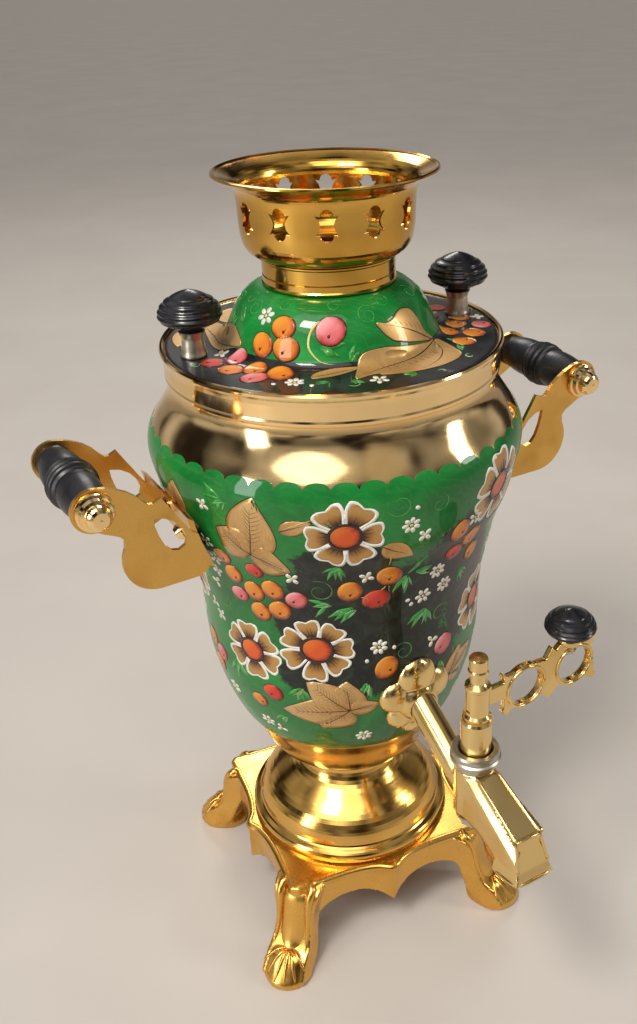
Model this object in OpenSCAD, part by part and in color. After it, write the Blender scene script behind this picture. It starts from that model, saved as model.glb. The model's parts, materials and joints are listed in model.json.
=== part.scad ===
// Small electric samovar with a painted vase-shaped body.
// Frame: +Z up, body axis on x = y = 0, soles of the feet on z = 0,
// tap towards -Y, handles towards +X and -X, power inlet towards +Y.
// Every piece is one module and one node.

/* [Shown node] */
// Which node is drawn

/* [Body] */
// Widest radius of the painted body
body_r = 72.3; // [66:0.1:78]
// Sheet thickness of the body
body_wall = 1.2; // [0.9:0.1:1.8]
// Height of the lower edge of the body
body_z0 = 82; // [78:0.5:86]
// Height of the upper edge of the body sheet
body_z1 = 262; // [259:0.5:262]

/* [Base] */
// Height of the top face of the plinth
plinth_top = 40.3; // [36:0.1:42]
// Half width of the plinth at the middle of a side, without the cusp
plinth_half = 44.5; // [42:0.1:46]
// How far the cusp in the middle of each side stands out
cusp_out = 6.5; // [4:0.1:8]
// Radius at which the hoofs end
toe_r = 84; // [80:0.5:88]
// Turn of the plinth against the tap
base_turn = -7.8; // [-12:0.1:12]
// Thickness of the plinth casting
plinth_wall = 3.2; // [2.5:0.1:4]

/* [Lid and crown] */
// Radius of the lid flange
lid_r = 61.7; // [60:0.1:61.8]
// Sheet thickness of the lid
lid_wall = 0.9; // [0.7:0.1:1.2]
// Turn of the two lid knobs against the handles
lid_turn = -7.8; // [-90:0.1:90]
// Radius of the lid knobs
lid_knob_r = 11.2; // [9:0.1:13]
// Distance of the lid knobs from the axis
lid_knob_x = 52.8; // [52.5:0.1:53.5]
// Outer radius of the crown wall
crown_r = 31.6; // [30:0.1:33]
// Number of cut-outs around the crown
crown_cuts = 12; // [8:1:16]
// Turn of the crown on the lid
crown_turn = 1; // [-15:0.5:15]

/* [Tap] */
// Distance of the tap barrel from the body axis
tap_y = 96; // [92:0.5:102]
// Radius of the tap plug inside the barrel
plug_r = 4.5; // [4:0.05:5]
// Radial clearance of the plug in the barrel
plug_fit = 0.05; // [0.03:0.01:0.08]
// Height of the plug port above the table
port_z = 118; // [117:0.5:119]
// Distance of the inner lever ring from the plug axis
lever_ring1 = 21; // [20:0.1:22]
// Distance of the outer lever ring from the plug axis
lever_ring2 = 43.6; // [42:0.1:45]
// Distance of the lever knob from the plug axis
lever_knob_x = 41.2; // [40:0.1:42]
// Radius of the lever knob
lever_knob_r = 9.2; // [8:0.1:10]

/* [Handles] */
// Distance of the grip axis from the body axis
grip_x = 104.3; // [102:0.1:107]
// Height of the grip axis above the table
grip_z = 234.2; // [232:0.1:237]
// Distance of the bracket side plates from the middle plane
plate_y = 22.8; // [21:0.1:25]
// Sheet thickness of the bracket
plate_t = 1.6; // [1.2:0.1:2]
// Largest radius of the grip beads
grip_r = 9.3; // [8.5:0.1:10]

/* [Heater] */
// Height of the heater terminals
inlet_z = 140; // [138:0.5:142]
// Half the distance between the two inlet pins
pin_x = 9.5; // [9:0.1:10]
// Radius of the heating loop
loop_r = 30; // [27:0.5:32]
// Height of the heating loop
loop_z = 106; // [104:0.5:110]
// Radius of the heater sheath
sheath_r = 4; // [3.5:0.1:4.5]
// Radius of the inlet shroud
shroud_r = 18; // [17:0.1:20]

/* [Hidden] */

fine = 96;    // facets asked for on large turned pieces
small = 48;   // facets asked for on small turned pieces
gap = 0.1;    // gap between touching pieces of one body
slack = 0.35; // gap between pieces that part from one another

brass = [0.83, 0.66, 0.32];
green = [0.05, 0.42, 0.14];
nickel = [0.78, 0.77, 0.74];
black = [0.05, 0.05, 0.06];
steel = [0.62, 0.62, 0.64];
grey_rubber = [0.25, 0.25, 0.25];
ceramic = [0.93, 0.91, 0.86];

// ---- curve helpers ----

// point on a Catmull-Rom span
function cr1(a, b, c, d, t) =
    0.5 * (2 * b + (c - a) * t + (2 * a - 5 * b + 4 * c - d) * t * t
        + (3 * b - a - 3 * c + d) * t * t * t);

// smooth line through the points p with n steps to a span
function smooth(p, n) = concat(
    [for (i = [0 : len(p) - 2]) for (k = [0 : n - 1])
        cr1(p[max(i - 1, 0)], p[i], p[i + 1], p[min(i + 2, len(p) - 1)], k / n)],
    [p[len(p) - 1]]);

// line p moved sideways by t (positive = towards the axis for a rising line)
function shifted(p, t) = [for (i = [0 : len(p) - 1])
    let (a = p[max(i - 1, 0)], b = p[min(i + 1, len(p) - 1)],
         d = (b - a) / norm(b - a))
    [p[i][0] - d[1] * t, p[i][1] + d[0] * t]];

function reversed(p) = [for (i = [len(p) - 1 : -1 : 0]) p[i]];

// radius of the line p (rising, [r, z]) at height z
function r_at(p, z) = lookup(z, [for (q = p) [q[1], q[0]]]);

// ---- body ----

br = body_r / 72.3; // body radii follow the widest one

body_line = smooth([
    [31.0 * br, body_z0], [35.6 * br, 86], [42.4 * br, 100], [47.9 * br, 110],
    [51.9 * br, 120], [54.7 * br, 130], [56.85 * br, 141.3], [57.7 * br, 155],
    [58.4 * br, 170], [60.6 * br, 184], [64.2 * br, 200], [68.0 * br, 210],
    [70.5 * br, 221], [72.3 * br, 231], [71.3 * br, 237], [68.8 * br, 241.5],
    [65.4 * br, 246.5], [62.7 * br, 251], [61.4, 254.5]], 3);

body_outer = concat(body_line, [[61.4, body_z1]]);
body_inner = concat(shifted(body_line, body_wall), [[61.4 - body_wall, body_z1]]);

seam = 37; // turn that keeps the seam of the body clear of its holes

// the space taken by the body between two heights, grown by g
module body_solid(g, z0, z1) {
    rotate([0, 0, seam]) rotate_extrude($fn = fine)
        polygon(concat([[25, z0], [r_at(body_line, z0) + g, z0]],
            [for (q = body_line) if (q[1] > z0 + 0.5 && q[1] < z1 - 0.5) [q[0] + g, q[1]]],
            [[r_at(body_line, z1) + g, z1], [25, z1]]));
}

// the room inside the body between two heights, shrunk by g
module body_room(g, z0, z1) {
    rotate([0, 0, seam]) rotate_extrude($fn = fine)
        polygon(concat([[0, z0], [r_at(body_inner, z0) - g, z0]],
            [for (q = body_inner) if (q[1] > z0 + 0.5 && q[1] < z1 - 0.5) [q[0] - g, q[1]]],
            [[r_at(body_inner, z1) - g, z1], [0, z1]]));
}

screw_zs = [205, 217];            // heights of the handle screws
function screw_x(z) = r_at(body_line, z);
// slope of the wall at the height z
function screw_tilt(z) = atan((r_at(body_line, z + 3) - r_at(body_line, z - 3)) / 6);

module body_shell() {
    color(green)
    difference() {
        rotate([0, 0, seam]) rotate_extrude($fn = fine)
            polygon(concat(body_outer, reversed(body_inner)));
        // hole for the tap shank
        translate([0, -40, shank_z]) rotate([90, 0, 0])
            cylinder(r = shank_r + gap, h = 30, $fn = small);
        // holes for the two heater sleeves
        for (s = [-1, 1]) translate([s * pin_x, 40, inlet_z]) rotate([-90, 0, 0])
            cylinder(r = sleeve_r + gap, h = 30, $fn = small);
        // holes for the handle screws
        for (s = [0, 180], z = screw_zs) rotate([0, 0, s])
            translate([screw_x(z), 0, z]) rotate([0, 90 + screw_tilt(z), 0])
                translate([0, 0, -6]) cylinder(r = 2.1, h = 12, $fn = small);
    }
}

module body_bottom() {
    color(brass)
    rotate_extrude($fn = fine) polygon([
        [3.2, body_z0 + 0.2], [29.4, body_z0 + 0.2], [30.6, body_z0 + 1.6],
        [3.2, body_z0 + 1.6]]);
}

// ---- neck ----

ring_seat = 266.9; // ledge that carries the lid
module neck_ring() {
    color(brass)
    rotate_extrude($fn = fine) polygon([
        [61.5, 257], [62.5, 256.8], [63.0, 257.6], [63.1, 258.6], [62.9, 259.4],
        [63.0, 264.4], [63.4, 266.2], [63.9, 267.2], [64.0, 268.1],
        [63.6, 268.8], [62.9, 269.0], [62.3, 268.6], [62.2, 268.0],
        [62.2, ring_seat], [59.1, ring_seat], [59.1, 265.9],
        [61.0, 265.2], [61.0, body_z1 + gap], [61.5, body_z1 + gap]]);
}

// ---- base ----

stud_r = 3;
stud_hole = 3.2;

// distance of the plinth edge from the middle at the place x along a side
function side_y(x) = plinth_half + 1.6 * pow(abs(x) / plinth_half, 2)
    + cusp_out * exp(-abs(x) / 9);

corner = plinth_half - 1; // half length of a side
side_pts = [for (i = [-14 : 14]) let (x = corner * i / 14) [x, -side_y(x)]];

function turned(p, a) = [p[0] * cos(a) - p[1] * sin(a), p[0] * sin(a) + p[1] * cos(a)];
plinth_outline = [for (k = [0 : 3]) for (q = side_pts) turned(q, 90 * k)];

// leg seen from the side, [distance from the axis, height]
leg_top = [[50, 39.6], [56, 39.2], [60.6, 37.2], [63.2, 33], [64.7, 26.5],
    [66.4, 19.5], [69.6, 13.8], [74.5, 10.6]];
leg_under = [[71, 0.4], [66, 2.8], [61.8, 8], [58.6, 16], [54.6, 24], [49, 30]];

module leg() {
    // shank: side profile cut to a waist when seen along the diagonal
    intersection() {
        rotate([90, 0, 0]) translate([0, 0, -14])
            linear_extrude(28)
                polygon(concat(smooth(leg_top, 2), [[toe_r - 4, 3]], smooth(leg_under, 2)));
        rotate([90, 0, 90]) translate([0, 0, 44])
            linear_extrude(40) polygon(concat(
                smooth([[10.2, 0], [10.0, 6], [9.2, 13], [8.6, 20], [8.8, 27],
                    [9.8, 33], [11.4, 40]], 2),
                smooth([[-11.4, 40], [-9.8, 33], [-8.8, 27], [-8.6, 20], [-9.2, 13],
                    [-10.0, 6], [-10.2, 0]], 2)));
    }
    // hoof
    hull() {
        translate([toe_r - 10.9, 0, 0]) cylinder(r = 10.8, h = 2.6, $fn = 32);
        for (y = [-3.4, 3.4]) translate([toe_r - 12, y, 6.4]) sphere(r = 6, $fn = 28);
        translate([toe_r - 15.5, 0, 0]) cylinder(r = 9.4, h = 3, $fn = 32);
    }
}

module plinth() {
    skirt_low = 12;
    arch_r = 24.5;
    arch_x = 18.2;
    arch_z = 2.4;
    color(brass)
    rotate([0, 0, base_turn])
    difference() {
        union() {
            difference() {
                translate([0, 0, skirt_low])
                    linear_extrude(plinth_top - skirt_low) polygon(plinth_outline);
                // hollow from below
                translate([0, 0, skirt_low - 1])
                    linear_extrude(plinth_top - plinth_wall - skirt_low + 1)
                        polygon([for (q = plinth_outline) q * (1 - plinth_wall / plinth_half)]);
                // two arches to a side
                for (a = [0, 90], x = [-arch_x, arch_x]) rotate([0, 0, a])
                    translate([x, 60, arch_z]) rotate([90, 0, 0])
                        cylinder(r = arch_r, h = 120, $fn = fine);
            }
            for (k = [0 : 3]) rotate([0, 0, 45 + 90 * k]) leg();
        }
        // hole for the tie bolt
        translate([0, 0, plinth_top - 10]) cylinder(r = stud_hole, h = 20, $fn = small);
        // room for the washer and nut under the plate
        translate([0, 0, -1]) cylinder(r = 30, h = plinth_top - plinth_wall + 1, $fn = fine);
        // keep below the plate
        translate([0, 0, plinth_top]) cylinder(r = 100, h = 10, $fn = 32);
    }
}

ped_line = smooth([
    [45.0, 40.4], [45.4, 42.0], [45.2, 43.8], [44.2, 45.2], [42.6, 46.0],
    [41.6, 47.2], [41.3, 49.2], [40.5, 51.6], [39.2, 54.2], [36.8, 57.2],
    [33.4, 60.2], [29.6, 62.9], [26.2, 65.4], [23.6, 68.2], [22.1, 71.2],
    [21.6, 74.4], [21.6, 77.0]], 2);
ped_wall = 1.3;

module pedestal() {
    color(brass)
    rotate_extrude($fn = fine)
        polygon(concat(ped_line, reversed([for (q = shifted(ped_line, ped_wall))
            [q[0], min(max(q[1], 40.4), 77)]])));
}

module waist_collar() {
    color(brass)
    rotate_extrude($fn = fine) polygon([
        [10, 77.1], [24.6, 77.1], [25.8, 77.6], [26.3, 78.3], [25.8, 79.0],
        [25.0, 79.4], [26.4, 79.8], [28.6, 80.4], [30.2, 81.0], [30.6, 81.6],
        [30.3, body_z0 - gap], [10, body_z0 - gap]]);
}

// hexagon by its width across flats
module hex(af, h) { cylinder(r = af / sqrt(3), h = h, $fn = 6); }

module tie_bolt() {
    color(steel) {
        translate([0, 0, 26]) cylinder(r = stud_r, h = body_z0 + 3.4 - 26, $fn = small);
        translate([0, 0, body_z0 + 3.3]) hex(10, 4);
    }
}
module tie_gasket() {
    color(grey_rubber)
    translate([0, 0, body_z0 + 1.7]) difference() {
        cylinder(r = 8, h = 1.5, $fn = small);
        translate([0, 0, -1]) cylinder(r = stud_hole, h = 4, $fn = small);
    }
}
module tie_washer() {
    color(steel)
    translate([0, 0, plinth_top - plinth_wall - 1.7]) difference() {
        cylinder(r = 9, h = 1.6, $fn = small);
        translate([0, 0, -1]) cylinder(r = stud_hole, h = 4, $fn = small);
    }
}
module tie_nut() {
    color(steel)
    translate([0, 0, plinth_top - plinth_wall - 6.9]) difference() {
        hex(10, 5);
        translate([0, 0, -1]) cylinder(r = stud_r + 0.02, h = 7, $fn = small);
    }
}

// ---- lid ----

lid_under = ring_seat + slack;
lid_line = smooth([
    [47.9, 268.2], [45.4, 268.4], [43.2, 268.8], [41.4, 269.5], [40.1, 270.6],
    [39.2, 272.2], [38.2, 274.4], [37.0, 277.2], [35.7, 279.9], [34.3, 282.2],
    [32.5, 284.4], [30.2, 286.4], [27.6, 287.9], [25.2, 288.7], [22.9, 288.9]], 2);

module lid_shell() {
    color(green)
    difference() {
        rotate_extrude($fn = fine) polygon(concat(
            [[lid_r, lid_under], [lid_r + 0.1, lid_under + 0.4], [lid_r - 0.2, lid_under + lid_wall],
             [49.6, 268.15]],
            lid_line,
            [[22.9, 296.6], [21.9, 296.6]],
            reversed([for (q = shifted(lid_line, lid_wall)) [max(q[0], 21.9), q[1]]]),
            [[49.4, lid_under]]));
        for (s = [0, 180]) rotate([0, 0, lid_turn + s])
            translate([lid_knob_x, 0, lid_under - 1]) cylinder(r = 2.15, h = 4, $fn = small);
    }
}

module lid_skirt() {
    color(brass)
    rotate_extrude($fn = fine) polygon([
        [57.6, 258.8], [58.6, 258.8], [58.7, 259.6], [58.7, lid_under - gap],
        [56.4, lid_under - gap], [56.4, lid_under - gap - 0.8],
        [57.7, lid_under - gap - 0.8], [57.7, 259.6]]);
}

stem_z0 = 268.35; // top of the flange where the stems stand
module lid_knob_stems() {
    color(nickel)
    for (s = [0, 180]) rotate([0, 0, lid_turn + s]) translate([lid_knob_x, 0, 0])
        rotate_extrude($fn = small) polygon(concat(
            [[2.15, stem_z0]],
            smooth([[4.8, stem_z0], [4.8, stem_z0 + 0.7], [4.4, stem_z0 + 2.0],
                [4.2, stem_z0 + 4.2], [4.0, stem_z0 + 6.6], [4.6, stem_z0 + 8.6]], 3),
            [[4.9, stem_z0 + 9.3], [2.15, stem_z0 + 9.3]]));
}

// side line of a ridged turned knob of radius r, height h, foot radius f
function knob_side(r, h, f) = [for (i = [0 : 44]) let (
        t = i / 44,
        low = 0.36, // place of the widest ring
        b = t < low ? f + (r - f) * pow(sin(90 * t / low), 1.6)
            : r * pow(cos(90 * pow((t - low) / (1 - low), 1.25)), 0.72),
        w = (t > 0.2 && t < 0.86) ? 0.028 * r * cos(360 * 8 * t) : 0)
    [max(b + w, 0.02 * r), h * t]];

module knob_solid(r, h, f, bore, depth) {
    rotate_extrude($fn = small) polygon(concat(
        [[bore, 0]], knob_side(r, h, f), [[0, h], [0, depth], [bore, depth]]));
}

lid_knob_z = stem_z0 + 9.4;
lid_knob_h = 14.6;
module lid_knobs() {
    color(black)
    for (s = [0, 180]) rotate([0, 0, lid_turn + s])
        translate([lid_knob_x, 0, lid_knob_z])
            knob_solid(lid_knob_r, lid_knob_h, 4.4, 2.05, 9.5);
}

// round-head screw standing on its head: shaft length l, radius r
module screw(l, r, head_r, head_h) {
    union() {
        translate([0, 0, -head_h]) cylinder(r1 = head_r * 0.72, r2 = head_r, h = head_h, $fn = small);
        translate([0, 0, -head_h / 2]) cylinder(r = r, h = l + head_h / 2, $fn = small);
    }
}

module lid_knob_screws() {
    color(steel)
    for (s = [0, 180]) rotate([0, 0, lid_turn + s])
        translate([lid_knob_x, 0, lid_under - gap]) difference() {
            screw(lid_knob_z + 8.6 - lid_under, 2, 3.6, 2);
            translate([-5, -0.4, -3]) cube([10, 0.8, 1.8]);
        }
}

// ---- crown ----

crown_z = 289.3;
module crown_collar() {
    color(brass)
    rotate([0, 0, crown_turn]) difference() {
        rotate_extrude($fn = fine) polygon([
            [23.25, crown_z], [24.5, crown_z], [24.7, crown_z + 0.7], [24.3, crown_z + 1.2],
            [24.3, crown_z + 3.2], [23.95, crown_z + 3.5], [24.3, crown_z + 3.8],
            [24.3, crown_z + 8.4], [24.9, crown_z + 9.0], [24.9, crown_z + 9.5],
            [23.25, crown_z + 9.5]]);
        // slit that lets the collar spring onto the lid neck
        rotate([0, 0, -31]) translate([20, -0.5, crown_z + 3.6]) cube([8, 1, 7]);
    }
}

crown_line = smooth([
    [23.4, crown_z + 9.6], [26.2, crown_z + 10.3], [28.6, crown_z + 11.8],
    [30.2, crown_z + 14.2], [31.0, crown_z + 17.2], [crown_r - 0.2, crown_z + 20.6],
    [crown_r, crown_z + 26], [crown_r + 0.3, crown_z + 31], [crown_r + 0.9, crown_z + 33.4],
    [crown_r + 2.4, crown_z + 35.2], [crown_r + 5.2, crown_z + 36.7],
    [crown_r + 7.8, crown_z + 37.8]], 3);

// one cut-out: a lobe above and below a waisted panel with pointed corners
module crown_cut() {
    union() {
        translate([0, 3.1]) circle(r = 2.3, $fn = 32);
        translate([0, -3.1]) circle(r = 2.3, $fn = 32);
        polygon([[-4.0, 3.4], [-2.6, 1.4], [-2.2, 0], [-2.6, -1.4], [-4.0, -3.4],
            [-1.8, -3.0], [1.8, -3.0], [4.0, -3.4], [2.6, -1.4], [2.2, 0], [2.6, 1.4],
            [4.0, 3.4], [1.8, 3.0], [-1.8, 3.0]]);
    }
}

module crown_bowl() {
    n = len(crown_line);
    tip = crown_line[n - 1];
    color(brass)
    rotate([0, 0, crown_turn]) difference() {
        rotate_extrude($fn = fine) polygon(concat(
            crown_line,
            [tip + [0.6, 0.5], tip + [0.5, 1.1], tip + [-0.2, 1.3], tip + [-0.9, 0.9]],
            reversed([for (q = shifted(crown_line, 0.95)) [max(q[0], 21.5), q[1]]]),
            [[21.5, crown_z + 9.6]]));
        for (k = [0 : crown_cuts - 1]) rotate([0, 0, k * 360 / crown_cuts])
            translate([crown_r - 6, 0, crown_z + 25.6]) rotate([90, 0, 90])
                linear_extrude(12) crown_cut();
    }
}

// ---- tap ----

shank_r = 5;
shank_z = 136.6;
pipe_drop = 28.7;   // slope of the pipe below level
pipe_r = 5.6;
barrel_r = 7.6;
barrel_top = 131.2;
barrel_low = 110;

// cylinder along the pipe, from y = -a to the barrel axis
module pipe_run(r, a) {
    translate([0, -58, shank_z]) rotate([90 + pipe_drop, 0, 0])
        translate([0, 0, a]) cylinder(r = r, h = (tap_y - 58) / cos(pipe_drop) - a, $fn = small);
}

// rounded lobe of radius r standing h out towards the front
module lobe(x, y, z, r, h) {
    translate([x, y, z]) rotate([90, 0, 0]) rotate_extrude($fn = small)
        polygon(concat([[0, -9], [r, -9]],
            [for (i = [0 : 7]) [r * cos(90 * i / 8), h * sin(90 * i / 8)]], [[0, h]]));
}

module tap_rosette() {
    color(brass)
    difference() {
        union() {
            lobe(0, -56.4, shank_z + 9.6, 8.6, 5.6);
            for (s = [-1, 1]) {
                lobe(s * 8.3, -55.2, shank_z + 2.2, 7.6, 5.2);
                lobe(s * 5.4, -54.2, shank_z - 8.4, 6.6, 4.6);
            }
            lobe(0, -53.0, shank_z - 14.8, 5.2, 4.2);
            lobe(0, -57.0, shank_z - 1.2, 9.2, 7.4);
        }
        body_solid(gap, 104, 165);
        pipe_run(pipe_r + gap, -9);
        translate([0, -40, shank_z]) rotate([90, 0, 0])
            cylinder(r = shank_r + 2 * gap, h = 22, $fn = small);
    }
}

module tap_gasket() {
    color(grey_rubber)
    difference() {
        intersection() {
            translate([0, -51.9, shank_z]) rotate([90, 0, 0]) cylinder(r = 8, h = 8, $fn = small);
            body_room(gap, 120, 153);
        }
        translate([0, -45, shank_z]) rotate([90, 0, 0])
            cylinder(r = shank_r + gap, h = 20, $fn = small);
    }
}

module tap_lock_nut() {
    color(brass)
    translate([0, -47.6, shank_z]) rotate([90, 0, 0]) difference() {
        hex(15, 4.2);
        translate([0, 0, -1]) cylinder(r = shank_r + 0.02, h = 8, $fn = small);
    }
}

module tap_body() {
    spout_line = [[-tap_y + 3, barrel_top - 0.5], [-tap_y - 8, barrel_top - 0.5], [-127.4, 121.2],
        [-131.2, 108.2], [-120.4, 104.6], [-115.5, 108.2], [-108, 110.4],
        [-tap_y + 3, barrel_low]];
    color(brass)
    difference() {
        union() {
            // threaded shank through the body wall
            translate([0, -45.6, shank_z]) rotate([90, 0, 0])
                cylinder(r = shank_r, h = 15.6, $fn = small);
            difference() {
                pipe_run(pipe_r, -2.5);
                body_solid(gap, 116, 160);
            }
            translate([0, -tap_y, barrel_low]) cylinder(r = barrel_r, h = barrel_top - barrel_low, $fn = fine);
            // beak: side line, its long upper edges cut back to slanted faces
            difference() {
                rotate([90, 0, 90]) translate([0, 0, -7.2]) linear_extrude(14.4)
                    polygon(spout_line);
                for (s = [-1, 1]) translate([s * 4.4, -tap_y - 8, barrel_top - 0.5])
                    rotate([28, 0, 0]) rotate([0, s * 52, 0])
                        translate([s > 0 ? 0 : -20, -60, 0]) cube([20, 80, 20]);
            }
            // mouth piece, wider than the beak
            hull() {
                translate([0, -123.6, 110.4]) rotate([-14, 0, 0])
                    translate([-6.4, -6.2, 0]) cube([12.8, 12.4, 1]);
                translate([0, -125.4, 103.4]) rotate([-14, 0, 0])
                    translate([-8, -7.4, 0]) cube([16, 14.8, 1]);
            }
        }
        // water way: shank, pipe, beak and mouth
        translate([0, -40, shank_z]) rotate([90, 0, 0]) cylinder(r = 3.4, h = 21, $fn = small);
        pipe_run(3.4, 0);
        translate([0, -tap_y, port_z]) rotate([90 + 11, 0, 0])
            cylinder(r = 3.4, h = 29.5, $fn = small);
        translate([0, -124.2, 114]) rotate([166, 0, 0]) cylinder(r = 4.4, h = 16, $fn = small);
        // bore for the plug
        translate([0, -tap_y, barrel_low - 5])
            cylinder(r = plug_r + plug_fit, h = 40, $fn = fine);
    }
}

module tap_collar() {
    color(nickel)
    translate([0, -tap_y, 0]) rotate_extrude($fn = fine) polygon([
        [6.2, barrel_top + gap], [7.6, barrel_top + gap], [8.2, 132.2], [8.5, 134],
        [9.3, 134.8], [9.4, 135.9], [8.8, 136.4], [9.0, 138.2], [8.5, 139.0],
        [6.6, 139.0], [6.2, 138.4]]);
}

slot_z0 = 156.4;
slot_z1 = 163.6;
slot_y = 1.35;
module tap_plug() {
    color(brass)
    translate([0, -tap_y, 0]) difference() {
        rotate_extrude($fn = fine) polygon([
            [0, 101], [2.4, 101], [2.4, barrel_low - 1.4], [plug_r, barrel_low - 1.4],
            [plug_r, 132.4],
            [5.7, 132.4], [5.7, 151.4], [5.2, 152.4], [4.2, 152.7], [5.0, 153.4],
            [5.1, 154.2], [4.3, 155.2], [4.3, 165.6], [4.8, 166.2], [4.6, 167.2],
            [3.5, 167.9], [2.9, 168.6], [2.9, 171.8], [3.7, 172.4], [3.7, 173.6],
            [3.3, 174.2], [3.4, 178.4], [3.1, 178.9], [0, 179.1]]);
        // cross port, in line with the pipe when the lever points away
        translate([-10, 0, port_z]) rotate([0, 90, 0]) cylinder(r = 2.9, h = 20, $fn = small);
        // slot for the lever tongue
        translate([-8, -slot_y, slot_z0]) cube([16, 2 * slot_y, slot_z1 - slot_z0]);
    }
}

module plug_washer() {
    color(nickel)
    translate([0, -tap_y, barrel_low - 2.8]) difference() {
        cylinder(r = 6.6, h = 1.1, $fn = small);
        translate([0, 0, -1]) cylinder(r = 2.5, h = 4, $fn = small);
    }
}
module plug_nut() {
    color(nickel)
    translate([0, -tap_y, barrel_low - 6.5]) difference() {
        hex(9, 3.6);
        translate([0, 0, -1]) cylinder(r = 2.42, h = 6, $fn = small);
    }
}

// openwork plate of the lever, seen from the front
module lever_outline() {
    rz = 158.2;
    difference() {
        union() {
            translate([lever_ring1, rz]) circle(r = 9.4, $fn = fine);
            translate([lever_ring2, rz + 0.8]) circle(r = 9.4, $fn = fine);
            // tongue and the bars that tie the rings to it
            translate([-3.9, slot_z0 + 0.1]) square([18, slot_z1 - slot_z0 - 0.2]);
            polygon([[11.4, 150.2], [13.6, 149.2], [16.2, 151.8], [16.6, 163.6], [12.6, 164.8], [10.6, 167.4],
                [10.2, 166.4], [11.6, 162.6]]);
            polygon([[12, 165.6], [22, 167.0], [30, 166.2], [32.6, 170.6], [34.4, 168.4],
                [36.4, 170.4], [47.4, 170.2], [51.6, 172.2], [53.8, 170.6], [52.6, 166.6],
                [50, 163], [36, 163], [31, 162], [16, 163.4]]);
            polygon([[28.6, 151.2], [32.4, 147.8], [36.2, 151.6], [35.6, 163], [29.4, 163]]);
            polygon([[48.6, 152], [52.8, 149.2], [54.0, 151.2], [53.0, 160], [49.6, 160]]);
            translate([12.8, 150.6]) circle(r = 1.9, $fn = 32);
            translate([53.2, 150.4]) circle(r = 1.7, $fn = 32);
            translate([52.6, 171.0]) circle(r = 1.6, $fn = 32);
        }
        translate([lever_ring1, rz]) circle(r = 7.3, $fn = fine);
        translate([lever_ring2, rz + 0.8]) circle(r = 7.3, $fn = fine);
    }
}

lever_pad_z = 171.6;
lever_seat = 166.7; // flat under the pad that the screw head meets
module tap_lever() {
    color(brass)
    translate([0, -tap_y, 0]) difference() {
        union() {
            rotate([90, 0, 0]) translate([0, 0, -1.3]) linear_extrude(2.6) lever_outline();
            translate([lever_knob_x, 0, lever_pad_z - 2.6]) cylinder(r = 4.2, h = 2.5, $fn = small);
        }
        translate([lever_knob_x, 0, 160]) cylinder(r = 1.6, h = 20, $fn = small);
        // flat for the screw head, inside the ring
        translate([lever_knob_x, 0, 160]) cylinder(r = 3.4, h = lever_seat - 160, $fn = small);
    }
}

module tap_knob() {
    color(black)
    translate([lever_knob_x, -tap_y, lever_pad_z])
        knob_solid(lever_knob_r, 12.2, 4.2, 1.55, 7.6);
}

module tap_knob_screw() {
    color(steel)
    translate([lever_knob_x, -tap_y, lever_seat - 0.1]) difference() {
        screw(lever_pad_z + 6.7 - lever_seat, 1.5, 2.9, 2);
        translate([-4, -0.35, -3]) cube([8, 0.7, 1.7]);
    }
}

// ---- handles ----

web_gap = 0.15; // inner face of the back web, measured from the body
web_face = 2.0; // outer face of the back web
// side plate of a bracket in the plane of distance and height
module bracket_outline() {
    difference() {
        union() {
            translate([grip_x, grip_z]) circle(r = 8, $fn = fine);
            polygon(concat([[grip_x, grip_z + 8], [99.5, 241.4], [95.6, 239.7], [92.6, 238.0],
                [89.8, 235.7], [87.6, 233.0], [86.0, 231.4], [84.2, 231.2], [81.2, 232.6],
                [79.0, 228.8], [76.6, 224.8], [74.0, 220.4], [71.6, 216.6]],
                [for (z = [215 : -3 : 203]) [r_at(body_line, z) + web_gap, z]],
                [[67.4, 199.4], [70.4, 198.0], [84.3, 197.9], [97.2, 208],
                [95.6, 220.6], [97.2, 222.4], [101.4, 224.6], [grip_x, grip_z - 8]]));
            translate([84.3, 211.1]) circle(r = 13.2, $fn = fine);
        }
        translate([grip_x, grip_z]) circle(r = 2.1, $fn = small);
        polygon([[84.9, 225.6], [81.0, 224.6], [77.4, 222.2], [74.8, 218.6], [73.7, 215.0],
            [74.5, 212.2], [77.0, 210.9], [79.6, 211.6], [82.0, 214.4], [83.6, 218.4], [84.6, 222.4]]);
    }
}

module bracket() {
    difference() {
        union() {
            for (s = [-1, 1]) translate([0, s * plate_y + plate_t / 2, 0])
                rotate([90, 0, 0]) linear_extrude(plate_t) bracket_outline();
            // back web that touches the body in its middle and joins the plates
            translate([0, plate_y, 0]) rotate([90, 0, 0]) linear_extrude(2 * plate_y)
                polygon(concat(
                    [for (z = [199 : 3 : 222]) [r_at(body_line, z) + web_gap, z]],
                    [for (z = [222 : -3 : 199]) [r_at(body_line, z) + web_face, z]]));
        }
        body_solid(0.2, 190, 240);
        for (z = screw_zs) translate([screw_x(z), 0, z]) rotate([0, 90 + screw_tilt(z), 0])
            translate([0, 0, -6]) cylinder(r = 2.1, h = 12, $fn = small);
    }
}
module handle_bracket_right() { color(brass) bracket(); }
module handle_bracket_left() { color(brass) rotate([0, 0, 180]) bracket(); }

// half side line of the grip, [radius, distance from the middle]
grip_line = smooth([[grip_r - 2.0, 0], [grip_r - 0.8, 0.35], [grip_r, 1.5], [grip_r - 0.6, 2.7],
    [grip_r - 1.5, 3.2], [grip_r - 0.9, 3.9], [grip_r - 0.7, 4.6], [grip_r - 1.4, 5.4],
    [grip_r - 1.5, 6.4], [grip_r - 1.3, 9], [grip_r - 1.5, 13], [grip_r - 2.1, 17],
    [grip_r - 2.6, 19.6], [grip_r - 2.4, 20.6], [grip_r - 3.0, 21.4],
    [grip_r - 3.2, plate_y - plate_t / 2 - gap]], 2);

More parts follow.
